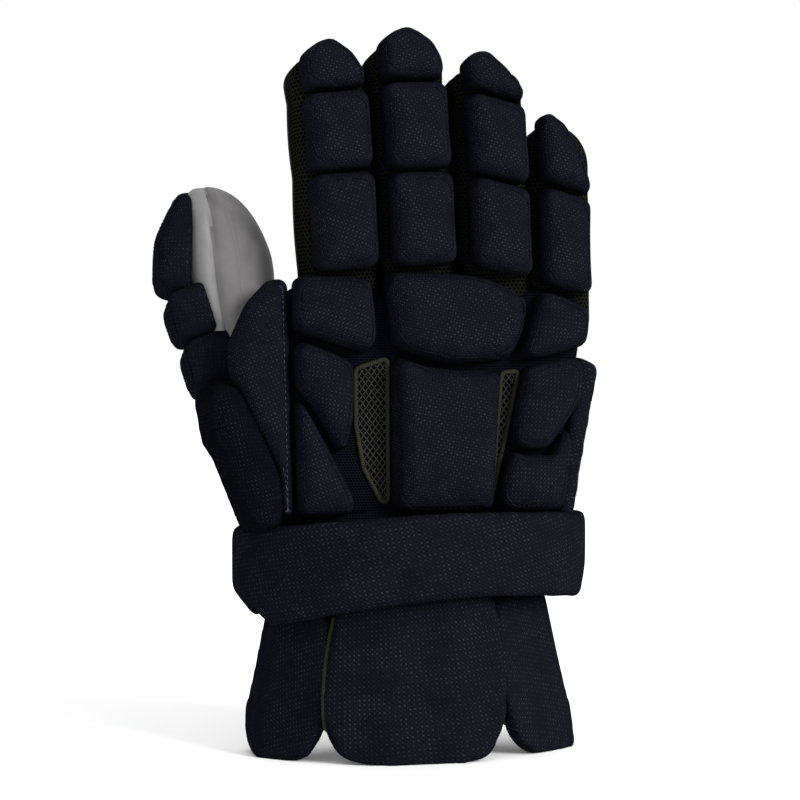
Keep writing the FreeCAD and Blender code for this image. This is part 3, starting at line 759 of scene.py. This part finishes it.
KNIT_POINTS, KNIT_OVAL = 48, 4.2  # points round a finger, and how square its section is
KNIT_STEP = 1.8 * MM
KNIT_ROOT = 12 * MM  # how far a finger's knit starts below its first joint
KNIT_BULGE = 0.7 * MM
TIP_CAP, TIP_LEAN = 0.62, 1.5 * MM  # share of the last bone that is rounded off, and its lean to the palm
BLEND_REACH = 8.5 * MM
MESH_WALL = 0.8 * MM
PALM_FROM = 0.55  # the leather covers a finger from here on, as a share of its half depth
PALM_LIFT, PALM_WALL = 0.7 * MM, 1.0 * MM  # where the palm-side leather starts above the knit, and its wall


def finger_skin(name):
    """The knit gusset round a finger and the leather strip along its palm side, cut in the middle of each
    bone, each piece shaped across one joint."""
    parts = FINGERS[name]
    frames = [segment_axes(f"{name}_{p}", f"{name}_{p}_roll") for p in parts]
    boxes = [sleeve_size(f"{name}_{p}_sleeve", *frames[i]) for i, p in enumerate(parts)]
    rows = []  # (part, distance beyond that part's joint)
    cuts = [0]
    for i in range(len(parts)):
        last = i == len(parts) - 1
        end = boxes[i][1][2] if last else np.linalg.norm(frames[i + 1][1] - frames[i][1])
        start = -KNIT_ROOT if i == 0 else 0.0
        count = int(round((end - start) / KNIT_STEP))
        steps = [start + (end - start) * k / count for k in range(count + last)]
        if not last:
            cuts.append(len(rows) + next(k for k, t in enumerate(steps) if t > end / 2))
        rows += [(i, t) for t in steps]
    cuts.append(len(rows) - 1)
    rings, flats = [], []
    around = oval(KNIT_POINTS, KNIT_OVAL)
    run = 0.0
    for i, t in rows:
        axes, at = frames[i]
        low, high = boxes[i]
        half = (high[:2] - low[:2]) / 2
        mid_y = (low[1] + high[1]) / 2
        if i == len(parts) - 1:
            top = high[2]
            cap = TIP_CAP * top
            u = np.clip((t - (top - cap)) / cap, 0, 1)
            shrink = math.sqrt(max(1 - u ** 2.2, 0.0))
            half = half * np.array([max(shrink, 0.02), max(shrink ** 0.8, 0.02)])
            mid_y += TIP_LEAN * u
        bulge = KNIT_BULGE * math.sin(math.pi * np.clip(t / max(high[2], 1e-6), 0, 1))
        ring = around * (half + np.array([bulge, 0.0]))
        lean = np.clip(0.5 + t / (2 * BLEND_REACH), 0, 1) if i and t < BLEND_REACH else 1.0
        previous = frames[i - 1][0] if i else axes
        mixed = previous * (1 - lean) + axes * lean
        mixed = mixed / np.linalg.norm(mixed, axis=1)[:, None]
        rings.append(at + mixed[2] * t + (ring[:, 0:1] * mixed[0]) + (ring[:, 1:2] + mid_y) * mixed[1])
        flats.append(on_cloth(ring, run))
        run += KNIT_STEP
    palm = [k for k in range(KNIT_POINTS) if around[k, 1] > PALM_FROM]
    first = [k for k in palm if (k - 1) % KNIT_POINTS not in palm][0]
    palm = [(first + k) % KNIT_POINTS for k in range(len(palm))]
    for i, (a, b) in enumerate(zip(cuts, cuts[1:])):
        axes, at = frames[i]
        part = f"{name}_{parts[i]}"
        own, flat = rings[a:b + 1], flats[a:b + 1]
        gusset = loft(f"{part}_gusset", own, flat, MESH_WALL, "finger_knit", None, (f"{part}_sleeve",))
        bend(gusset)
        co = np.vstack(own)
        raised = co - point_normals(co, ring_faces(len(own), KNIT_POINTS)) * PALM_LIFT
        raised = raised.reshape(-1, KNIT_POINTS, 3)[:, palm].reshape(-1, 3)
        strip, faces = thick_skin(raised, len(own), len(palm), PALM_WALL, closed=False)
        flat = np.vstack([f[palm] for f in flat])
        made = piece(f"{part}_palm", strip, faces, "palm_leather",
                     cloth=np.vstack([flat, flat]))
        bend(made)


for finger_name in FINGERS:
    finger_skin(finger_name)


# --- hand -----------------------------------------------------------------------------------------
def level_box(node, level):
    """Lowest and highest corner of where a CAD node crosses a level."""
    co, faces = solid(node)
    found = []
    for face in faces:
        for a, b in sides_of(face):
            za, zb = co[a, 2] - level, co[b, 2] - level
            if za * zb < 0:
                found.append(co[a] + (co[b] - co[a]) * za / (za - zb))
    found = np.array(found)
    return found.min(0), found.max(0)


HAND_POINTS, HAND_OVAL = 96, 5.5
HAND_LOW, HAND_HIGH = 110 * MM, 211 * MM
HAND_SAME = 196 * MM  # from here up the hand's section stays the same
KNUCKLE_CAP, KNUCKLE_INSET = 12 * MM, 12.4 * MM  # height of the rounded upper end, and how far it draws in
HAND_WALL = 1.2 * MM


def hand_ring(level):
    """Half sizes and centre of the hand's skin at a level."""
    held = float(np.clip(level, HAND_LOW, HAND_SAME))
    liner, palm = level_box("back_liner", held), level_box("palm_leather", held)
    low = np.array([liner[0][0], liner[0][1]])
    high = np.array([liner[1][0], palm[1][1] - 0.3 * MM])
    return (low + high) / 2, (high - low) / 2


def hand_skin():
    around = oval(HAND_POINTS, HAND_OVAL)
    shoulder = HAND_HIGH - KNUCKLE_CAP
    levels = np.concatenate([np.arange(HAND_LOW, shoulder, 3 * MM),
                             shoulder + KNUCKLE_CAP * np.sin(np.linspace(0, math.pi / 2, 8))])
    rings, flats = [], []
    for level in levels:
        centre, half = hand_ring(level)
        u = np.clip((level - shoulder) / KNUCKLE_CAP, 0, 1)
        inset = KNUCKLE_INSET * (1 - math.sqrt(max(1 - u * u, 0)))
        ring = around * (half - inset) + centre
        rings.append(np.column_stack([ring, np.full(len(ring), level)]))
        flats.append(on_cloth(ring, level))
    loft("hand_shell", rings, flats, HAND_WALL, "liner_knit", "hand", ("back_liner",))


hand_skin()


# --- thumb ----------------------------------------------------------------------------------------
THUMB_POINTS, THUMB_OVAL = 64, 2.7
# The thumb's leather in the tip's own axes, in mm: height beyond the tip's joint, the back and the palm
# side of its section, and its half width.
THUMB_SECTIONS = [
    (-46, -16.5, 6.5, 15.5), (-36, -20, 3.5, 16.5), (-26, -24.5, 1.0, 17.2), (-16, -28.5, 0.8, 18.0),
    (-6, -32, 2.4, 18.6), (4, -35, 3.6, 18.8), (14, -36.5, 2.4, 18.6), (24, -37, -1.2, 17.6),
    (32, -37, -5.5, 15.8), (38, -36.6, -10.0, 13.6), (42.5, -35.8, -15.0, 10.6), (45.3, -34, -20.5, 6.8),
    (46.4, -31, -25.0, 2.6), (46.7, -28.3, -27.7, 0.2)]
THUMB_AXIS_BACK = 27 * MM  # from the tip's palm surface to its joint
THUMB_SEAM = 0.27  # share of the side, from the back, that the first leather panel covers
THUMB_WALL = 1.2 * MM
BULGE, GROOVE, CREASE = 2.0 * MM, 1.5 * MM, 1.7 * MM  # relief of the leather beside and along its seam
LEATHER_END = -30 * MM  # where the pale leather gives way to the dark gusset of the thumb's base


def thumb_skin():
    axes, at = segment_axes("thumb_tip", "thumb_tip_cap")
    origin = at + axes[1] * THUMB_AXIS_BACK
    table = np.array(THUMB_SECTIONS) * MM
    arc = np.concatenate([[0], np.cumsum(np.hypot(np.diff(table[:, 0]), np.diff(table[:, 3])))])
    fine = np.linspace(0, arc[-1], 66)
    rows = np.stack([spline(arc, table[:, k], fine) for k in range(4)], 1)
    around = oval(THUMB_POINTS, THUMB_OVAL)
    rings, flats, shaded_panel = [], [], []
    for (z, back, palm, half), run in zip(rows, fine):
        ring = around * np.array([half, (palm - back) / 2]) + np.array([0, (palm + back) / 2])
        share = (ring[:, 1] - back) / max(palm - back, 1e-6)
        side = np.clip(np.abs(ring[:, 0]) / max(half, 1e-6), 0, 1) ** 3
        seam = THUMB_SEAM + 0.10 * (z / (45 * MM)) ** 2
        groove = np.exp(-((share - seam) / 0.022) ** 2)
        bulge = soft_step((share - seam) / 0.14)
        crease = np.exp(-(((share - 0.55) * 0.9 - (z - 6 * MM) / (60 * MM)) / 0.09) ** 2)
        crease *= soft_step((share - 0.42) / 0.2) * soft_step((1.02 - share) / 0.3)
        ring[:, 0] += np.sign(ring[:, 0]) * side * (BULGE * bulge - GROOVE * groove - CREASE * crease)
        rings.append(origin + ring[:, :1] * axes[0] + ring[:, 1:] * axes[1] + axes[2] * z)
        flats.append(on_cloth(ring, run))
        shaded_panel.append(share > seam)
    cut = int(np.argmin(np.abs(rows[:, 0] - LEATHER_END)))
    made = loft("thumb_leather", rings[cut:], flats[cut:], THUMB_WALL, "thumb_leather",
                replaces=("thumb_tip_sleeve",))
    # The leather past the seam gets the darker copy of the leather: painted shade on that panel.
    made.data.materials.append(LOOKS["thumb_leather_side"])
    side = np.concatenate(shaded_panel[cut:] * 2)
    of_face = [int(side[list(p.vertices)].mean() > 0.5) for p in made.data.polygons]
    made.data.polygons.foreach_set("material_index", of_face)
    bend(made)
    loft("thumb_base_gusset", rings[:cut + 1], flats[:cut + 1], THUMB_WALL, "finger_knit", "thumb_base",
         ("thumb_base_sleeve",))
    return rings[0]


def spline(xs, ys, at):
    """A smooth curve through points, without overshoot (monotone cubic)."""
    h, d = np.diff(xs), np.diff(ys) / np.diff(xs)
    both = d[1:] * d[:-1]
    slopes = np.concatenate([[d[0]], np.where(both > 0, 2 * both / (d[1:] + d[:-1] + 1e-12), 0), [d[-1]]])
    i = np.clip(np.searchsorted(xs, at) - 1, 0, len(h) - 1)
    t = (at - xs[i]) / h[i]
    a, b = ys[i], ys[i + 1]
    return (a * (1 + 2 * t) * (1 - t) ** 2 + slopes[i] * h[i] * t * (1 - t) ** 2
            + b * t * t * (3 - 2 * t) + slopes[i + 1] * h[i] * t * t * (t - 1))


THUMB_START = thumb_skin()


# --- cuff -----------------------------------------------------------------------------------------
CUFF_LOW, CUFF_HIGH = [np.array(c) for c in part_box("cuff_liner")]
CUFF_MIDDLE, CUFF_HALF = (CUFF_LOW + CUFF_HIGH) / 2, (CUFF_HIGH - CUFF_LOW) / 2
CUFF_OVAL = 1.6  # the cuff's width over its depth
CUFF_GIRTH = 62 * MM  # length of cloth for each radian round the cuff


def cuff_cloth(co):
    """The cuff's cover laid flat: along the cuff's curve, and up."""
    x, y = (co[:, 0] - CUFF_MIDDLE[0]) / CUFF_OVAL, co[:, 1] - CUFF_MIDDLE[1]
    outwards = np.hypot(x, y)
    return np.stack([np.arctan2(x, -y) * CUFF_GIRTH, co[:, 2] + (outwards - outwards.max()) * 0.3], 1)


# Flaps: the direction each faces (degrees from -Y), how much its lower corners are rounded off, and how
# far its edges reach beyond the CAD solid's on the thumb side and on the outer side, in mm.
FLAPS = {"cuff_flap_centre": (0, 11, 1.0, 1.0), "cuff_flap_thumb": (-45, 15, 0.5, 5.0),
         "cuff_flap_outer": (36, 13, 5.0, 0.5)}


def lobed(co, facing, rounding, thumb_side, outer_side):
    """Rounds a flap's lower end to a lobe and widens it below its hinge."""
    across = np.array([math.cos(math.radians(facing)), math.sin(math.radians(facing)), 0.0])
    u = co @ across
    s = (u - (u.min() + u.max()) / 2) / ((u.max() - u.min()) / 2)
    top, low = co[:, 2].max(), co[:, 2].min()
    down = (top - co[:, 2]) / (top - low)
    rise = rounding * MM * (1 - np.sqrt(np.clip(1 - np.abs(s) ** 3, 0, 1)))
    reach = np.where(s > 0, s * outer_side, s * thumb_side) * MM * soft_step(down * 2.5)
    co = co + across * reach[:, None]
    co[:, 2] = top - (top - co[:, 2]) * (1 - rise / (top - low))
    return co


GUARD_REACH, GUARD_ZONE = 5 * MM, 20 * MM  # how far the edge guard's lower part is drawn down, and its height


def guard_cloth(co):
    return np.stack([co[:, 0] - co[:, 1], co[:, 2]], 1)


COVERS = {}  # node -> (points, faces) of a finished cover, for what is laid or sewn on it
# Each CAD solid is evenly remeshed, its edges are rounded, and it is filled out again.
for block_node, voxel, rounds, full, degrees in (
        ("wrist_band", 1.8, 6, 0.8, 35), ("cuff_flap_centre", 1.7, 6, 0.8, 40),
        ("cuff_flap_thumb", 1.7, 6, 0.8, 30), ("cuff_flap_outer", 1.7, 6, 0.8, -35),
        ("edge_guard", 1.5, 8, 1.0, 30)):
    co, faces = remeshed(*solid(block_node), voxel * MM)
    co = smoothed(co, faces, rounds)
    co = co + point_normals(co, faces) * (full * MM)
    if block_node in FLAPS:
        co = lobed(co, *FLAPS[block_node])
    flat = cuff_cloth
    if block_node == "edge_guard":
        flat = guard_cloth
        co[:, 2] -= GUARD_REACH * np.clip(1 - (co[:, 2] - co[:, 2].min()) / GUARD_ZONE, 0, 1)
    co, faces = subdivided(co, faces)
    COVERS[block_node] = (co, faces)
    cloth = turned(flat(co), degrees) / WEAVE_PITCH
    piece(f"{block_node}_cover", co, faces, "shell_weave", NODE_BODY[block_node],
          (block_node,), cloth)


def tube_piece(name, sections, wall, look, body=None, replaces=(), power=2.0):
    """A cloth tube through level sections (level, centre x, centre y, half x, half y)."""
    around = oval(80, power)
    rings, flats, run = [], [], 0.0
    for level, cx, cy, hx, hy in sections:
        ring = around * np.array([hx, hy]) + np.array([cx, cy])
        rings.append(np.column_stack([ring, np.full(len(ring), level)]))
        if len(rings) > 1:
            run += float(np.linalg.norm(rings[-1][0] - rings[-2][0]))
        flats.append(on_cloth(ring, run))
    return loft(name, rings, flats, wall, look, body, replaces)


# The knit between the band and the hand: where it starts, inside the band, and its half sizes there.
SKIRT_LOW, SKIRT_Y, SKIRT_HALF = 84 * MM, -9 * MM, np.array([69, 33]) * MM


def cuff_inside():
    (cx, cy), (hx, hy) = CUFF_MIDDLE[:2], CUFF_HALF[:2]
    sections = []
    for t in np.linspace(0, 1, 34):
        flare = 1 - 0.02 * math.sin(9 * t) + 0.015 * (1 - t) ** 6
        sections.append((CUFF_LOW[2] + (CUFF_HIGH[2] - CUFF_LOW[2]) * t, cx, cy, hx * flare, hy * flare))
    tube_piece("cuff_lining", sections, 1.6 * MM, "lining", "cuff", ("cuff_liner",))
    centre, half = hand_ring(HAND_LOW)
    foot = np.array([cx, SKIRT_Y])
    sections = []
    for t in np.linspace(0, 1, 26):
        k = soft_step(t)
        level = SKIRT_LOW + (HAND_LOW + 5 * MM - SKIRT_LOW) * t
        sections.append((level, *(foot + (centre - foot) * k), *(SKIRT_HALF + (half - SKIRT_HALF) * k)))
    gusset = tube_piece("wrist_gusset", sections, 1.0 * MM, "liner_knit", power=2.8)
    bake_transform(gusset)


cuff_inside()


# --- tubes and strips laid on surfaces --------------------------------------------------------------
def cord_mesh(path, radius, sides=8, closed=False):
    """A round tube along points; an open one tapers to its ends."""
    path = np.asarray(path)
    count = len(path)
    turn = circle(sides)
    co, up = [], None
    for i in range(count):
        ahead = path[(i + 1) % count if closed else min(i + 1, count - 1)]
        behind = path[i - 1 if closed else max(i - 1, 0)]
        along = unit(ahead - behind)
        if up is None:
            up = np.cross(along, X if abs(along[0]) < 0.8 else Z)
        up = unit(up - along * np.dot(up, along))
        side = np.cross(along, up)
        r = radius if closed or 0 < i < count - 1 else radius * 0.3
        co += [path[i] + (side * math.cos(a) - up * math.sin(a)) * r for a in turn]
    faces = ring_faces(count, sides)
    last = (count - 1) * sides
    if closed:
        faces += [(last + k, last + (k + 1) % sides, (k + 1) % sides, k) for k in range(sides)]
    else:
        faces += [tuple(range(sides))[::-1], tuple(range(last, last + sides))]
    pace = np.linalg.norm(path[1] - path[0])
    flat = np.array([[a * radius, i * pace] for i in range(count) for a in turn])
    return np.array(co), faces, flat


def joined(parts):
    """Several (points, faces, cloth) meshes as one."""
    shift, faces = 0, []
    for co, some, _ in parts:
        faces += [tuple(i + shift for i in f) for f in some]
        shift += len(co)
    return np.vstack([p[0] for p in parts]), faces, np.vstack([p[2] for p in parts])


def inside(loop, x, z):
    """Whether a point lies in an outline given in x and z."""
    found = False
    for (xa, _, za), (xb, _, zb) in zip(loop, np.roll(loop, -1, 0)):
        if (za > z) != (zb > z) and x < xa + (xb - xa) * (z - za) / (zb - za):
            found = not found
    return found


NET_PITCH = 2.2 * MM
NET_STRAND = 0.30 * MM
NET_WAVE, NET_SUNK = 0.28 * MM, 0.2 * MM  # how far the strands weave in and out, and lie below the face
NET_SLANT = math.radians(52)  # of the strands from level
PIPING = 1.05 * MM


def vents():
    """Two nets of crossing strands, each with piping round it."""
    co, faces = solid("vent_mesh")
    _, normal, polygons = next(g for g in flat_groups("vent_mesh") if g[1][1] < 0)
    y = -unit(normal)
    z = unit(Z - y * y[2])
    axes = np.array([np.cross(y, z), y, z])
    middle = co[faces[polygons[0]][0]]
    strands, pipes = [], []
    for loop in boundary_loops(co, [faces[p] for p in polygons]):
        loop = eased(resampled((loop - middle) @ axes.T, 1.2 * MM), 3)
        low, high = loop.min(0), loop.max(0)
        reach = np.linalg.norm(high - low)
        for way in (1, -1):
            along = np.array([math.cos(NET_SLANT), 0, way * math.sin(NET_SLANT)])
            step = np.array([-along[2], 0, along[0]])
            for k in np.arange(-reach, reach, NET_PITCH):
                run = []
                for t in np.arange(-reach, reach, 0.7 * MM):
                    p = (low + high) / 2 + step * k + along * t
                    if inside(loop, p[0], p[2]):
                        lift = NET_WAVE * math.sin(math.pi * t / NET_PITCH + (0 if way > 0 else math.pi))
                        run.append(p + Y * (lift - NET_SUNK))
                        continue
                    if len(run) > 2:
                        strands.append(cord_mesh(run, NET_STRAND, 6))
                    run = []
        pipes.append(cord_mesh(loop - Y * 0.5 * MM, PIPING, 10, closed=True))
    for name, parts, look, nodes in (("vent_net", strands, "vent_mesh", ("vent_mesh",)),
                                     ("vent_piping", pipes, "binding", ())):
        points, faces, flat = joined(parts)
        piece(name, points @ axes + middle, faces, look, "hand", nodes, flat)


vents()


def laid(name, node, tree, outward, lift, wall, look, seam=None, inset=0.3 * MM, swell=None,
         shift=(0.0, 0.0), step=2.2 * MM):
    """A panel with the outline of a CAD node, level by level, laid on a surface. A seam runs one step
    inside its edge. shift moves it along Y, at its foot and at its top."""
    low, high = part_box(node)
    levels = np.linspace(low.z + 0.4 * MM, high.z - 0.4 * MM, max(3, int((high.z - low.z) / step)))
    spans = [level_box(node, level) for level in levels]
    axis = 1 if outward[0] else 0
    wide = max(b[axis] - a[axis] for a, b in spans)
    columns = max(3, int(wide / step))
    co, flat = [], []
    for level, (a, b) in zip(levels, spans):
        for t in np.linspace(0, 1, columns):
            place = a[axis] + inset + (b[axis] - a[axis] - 2 * inset) * t
            start = np.array([a[0], a[1], level])
            start[axis] = place
            start[1] += np.interp(level, (low.z, high.z), shift)
            hit, _ = dropped(tree, start, outward)
            at = start if hit is None else np.array(hit)
            co.append(at + outward * (lift + (swell(at) if swell else 0.0)))
            flat.append((place, level))
    co, flat = np.array(co), np.array(flat)
    rows = len(levels)
    if np.dot(np.cross(co[1] - co[0], co[columns] - co[0]), outward) < 0:
        co = co.reshape(rows, columns, 3)[:, ::-1].reshape(-1, 3)
        flat = flat.reshape(rows, columns, 2)[:, ::-1].reshape(-1, 2)
    grid = co.reshape(rows, columns, 3)
    normals = point_normals(co, ring_faces(rows, columns, False)).reshape(rows, columns, 3)
    skin, faces = thick_skin(co, rows, columns, wall, closed=False)
    made = piece(name, skin, faces, look, NODE_BODY[node], (node,), np.vstack([flat, flat]))
    if seam:
        ways = [(slice(1, -1), 1), (-2, slice(1, -1)), (slice(-2, 0, -1), -2), (1, slice(-2, 0, -1))]
        line = np.vstack([grid[way] for way in ways])
        out = np.vstack([normals[way] for way in ways])
        keep = [i for i in range(len(line)) if np.linalg.norm(line[i] - line[i - 1]) > 0.5 * MM]
        add_stitches(NODE_BODY[node], seam, line[keep], out[keep])
    area = sum(np.linalg.norm(np.cross(grid[i, j + 1] - grid[i, j], grid[i + 1, j] - grid[i, j]))
               for i in range(rows - 1) for j in range(columns - 1))
    return made, area, (wide, levels[-1] - levels[0])


def creases(at):
    """Soft waves in the palm's leather."""
    x, z = at[0] / MM, at[2] / MM
    broad = 0.5 * math.sin(0.11 * x + 0.06 * z) * math.sin(0.05 * z)
    return MM * (broad + 0.25 * math.sin(0.21 * x - 0.13 * z))


PALM_PANEL = 1.2 * MM  # thickness of the palm's leather and of its wear patch


def palm():
    shell = bpy.data.objects["hand_shell"]
    tree = surface(*arrays(shell.data))
    for name, node, lift, look, seam in (
            ("palm_leather_panel", "palm_leather", 1.1 * MM, "palm_leather", "thread"),
            ("palm_wear_patch", "palm_patch", 2.3 * MM, "palm_overlay", "pale_thread")):
        made, area, flat = laid(name, node, tree, Y, lift, PALM_PANEL, look, seam,
                                swell=creases)


palm()


MARK_SHIFT = (-6.0 * MM, -2.4 * MM)  # the stripe leans with the guard's front edge


def edge_mark():
    """The printed stripe on the edge guard, as a thin raised strip that follows the guard."""
    laid("edge_stripe_print", "edge_stripe", surface(*COVERS["edge_guard"]), X, 0.8 * MM, 0.9 * MM,
         "stripe", inset=-0.8 * MM, shift=MARK_SHIFT, step=1.1 * MM)


edge_mark()


RIBBON_POINTS = 44
SEAM_MARGIN = 3 * MM  # from a ribbon's edges to its crossed box of stitches


def ribbon(name, node, look, ends=1.5 * MM, seam=None):
    """A flat strip along X with the size of its CAD node, soft at its edges and ends."""
    low, high = [np.array(c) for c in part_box(node)]
    centre, half = (low + high) / 2, (high - low) / 2
    around = oval(RIBBON_POINTS, 5.0)
    rings, flats = [], []
    count = max(6, int(half[0] / (0.9 * MM)))
    for t in np.sin(np.linspace(-math.pi / 2, math.pi / 2, count)):
        x = np.full(RIBBON_POINTS, centre[0] + half[0] * t)
        rest = (1 - abs(t)) * half[0]
        shrink = math.sqrt(max(1 - max(1 - rest / ends, 0) ** 2, 0.02))
        rings.append(np.column_stack([x, centre[1] + around[:, 0] * half[1] * shrink,
                                      centre[2] - around[:, 1] * (half[2] - ends * (1 - shrink))]))
        flats.append(np.column_stack([around[:, 1] * half[2], x]))
    first = tuple(range(RIBBON_POINTS))
    faces = ring_faces(count, RIBBON_POINTS)
    faces += [first[::-1], tuple(i + (count - 1) * RIBBON_POINTS for i in first)]
    piece(name, np.vstack(rings), faces, look, NODE_BODY[node], (node,), np.vstack(flats))
    if seam:
        (x0, x1), z0, z1 = seam, low[2] + SEAM_MARGIN, high[2] - SEAM_MARGIN
        corners = np.array([(x, high[1], z) for x, z in ((x0, z0), (x1, z0), (x1, z1), (x0, z1))])
        for path, closed in ((corners, True), (corners[[0, 2]], False), (corners[[1, 3]], False)):
            line = resampled(path, STITCH_PITCH, closed)
            add_stitches(NODE_BODY[node], "thread", line, np.tile(Y, (len(line), 1)), closed)


def strap():
    tab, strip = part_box("strap_anchor_tab"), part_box("wrist_strap")
    ribbon("strap_anchor", "strap_anchor_tab", "strap_webbing", seam=(tab[0].x + 2 * MM, tab[1].x - 2 * MM))
    ribbon("wrist_strap_webbing", "wrist_strap", "strap_webbing",
           seam=(strip[0].x + 5 * MM, strip[0].x + 18 * MM))
    ribbon("strap_hook_tape", "strap_hook_patch", "hook_tape", ends=0.6 * MM)
    ribbon("strap_loop_tape", "strap_loop_patch", "loop_tape", ends=0.6 * MM)


strap()


BINDING = 1.2 * MM


def bindings():
    """The folded tape along the side of a flap that lies against its neighbour."""
    for node, high in (("cuff_flap_centre", 66), ("cuff_flap_outer", 60)):  # up to this level, in mm
        co, _ = COVERS[node]
        path = []
        for level in np.arange(14, high, 1.5) * MM:
            near = co[np.abs(co[:, 2] - level) < 1.0 * MM]
            edge = near[near[:, 0] < near[:, 0].min() + 1.2 * MM]
            path.append(edge.mean(0) - X * 0.4 * MM)
        path = np.array(path)
        for _ in range(4):
            path[1:-1] = 0.5 * path[1:-1] + 0.25 * (path[:-2] + path[2:])
        co, faces, flat = cord_mesh(path, BINDING, 10)
        piece(f"{node}_binding", co, faces, "binding", NODE_BODY[node], (), flat)


bindings()


ROOT_CENTRE = np.array([-43, 2, 150]) * MM  # where the thumb's gusset meets the hand, and its half sizes
ROOT_HALF = (14 * MM, 27 * MM)


def thumb_root(start_ring):
    """The knit gusset from the side of the hand up to the thumb's base."""
    around = oval(THUMB_POINTS, THUMB_OVAL)
    foot = ROOT_CENTRE + np.outer(around[:, 0], -Y) * ROOT_HALF[0] + np.outer(around[:, 1], Z) * ROOT_HALF[1]
    rings, flats = [], []
    for i, t in enumerate(np.linspace(0, 1, 22)):
        h = soft_step(t)
        rings.append(foot * (1 - h) + start_ring * h)
        flats.append(on_cloth(rings[-1], i * 1.6 * MM))
    made = loft("thumb_root_gusset", rings, flats, 1.0 * MM, "finger_knit")
    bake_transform(made)


thumb_root(THUMB_START)

# --- carried-over nodes: the plastic inserts and the thumb's lock plate ------------------------------
for node in frame["nodes"].values():
    if not node.hide_render:
        node.data.materials.clear()
        node.data.materials.append(LOOKS["insert_plastic"])

make_stitching()


# --- camera, light and floor ----------------------------------------------------------------------
AZIMUTH, ELEVATION = math.radians(-14), math.radians(3.5)
DISTANCE, LENS = 1.4, 140.6  # the camera's way from its aim in metres, and its focal length in mm
AIM = Vector((2.6 * MM, -24.7 * MM, 160.5 * MM))
SUN_SIZE = math.radians(24)  # wide suns give soft shadows


def linked(name, data, turn):
    """A camera or a light in the scene, with its rotation."""
    made = bpy.data.objects.new(name, data)
    made.rotation_mode = "QUATERNION"
    made.rotation_quaternion = turn
    bpy.context.scene.collection.objects.link(made)
    return made


def studio():
    scene = bpy.context.scene
    level = math.cos(ELEVATION)
    back = Vector((math.sin(AZIMUTH) * level, -math.cos(AZIMUTH) * level, math.sin(ELEVATION)))
    data = bpy.data.cameras.new("camera")
    data.lens = LENS
    scene.camera = linked("camera", data, (-back).to_track_quat("-Z", "Y"))
    scene.camera.location = AIM + back * DISTANCE
    for name, at, strength in (("key", (0.8, -1.0, 0.55), 4.2), ("top", (0.1, 0.5, 1.0), 0.8)):
        lamp = bpy.data.lights.new(name, "SUN")
        lamp.energy, lamp.angle = strength, SUN_SIZE
        linked(name, lamp, Vector(at).to_track_quat("Z", "Y"))
    world = bpy.data.worlds.new("studio")
    world.use_nodes = True
    world.node_tree.nodes["Background"].inputs["Color"].default_value = (1, 1, 1, 1)
    scene.world = world
    scene.view_settings.view_transform = "Standard"
    floor = new_object("floor", [(-3, -3, 0), (3, -3, 0), (3, 3, 0), (-3, 3, 0)], [(0, 1, 2, 3)])
    paint = bpy.data.materials.new("floor")
    paint.use_nodes = True
    shader = paint.node_tree.nodes["Principled BSDF"]
    shader.inputs["Base Color"].default_value = (0.86, 0.86, 0.86, 1)
    shader.inputs["Roughness"].default_value = 0.9
    floor.data.materials.append(paint)


studio()
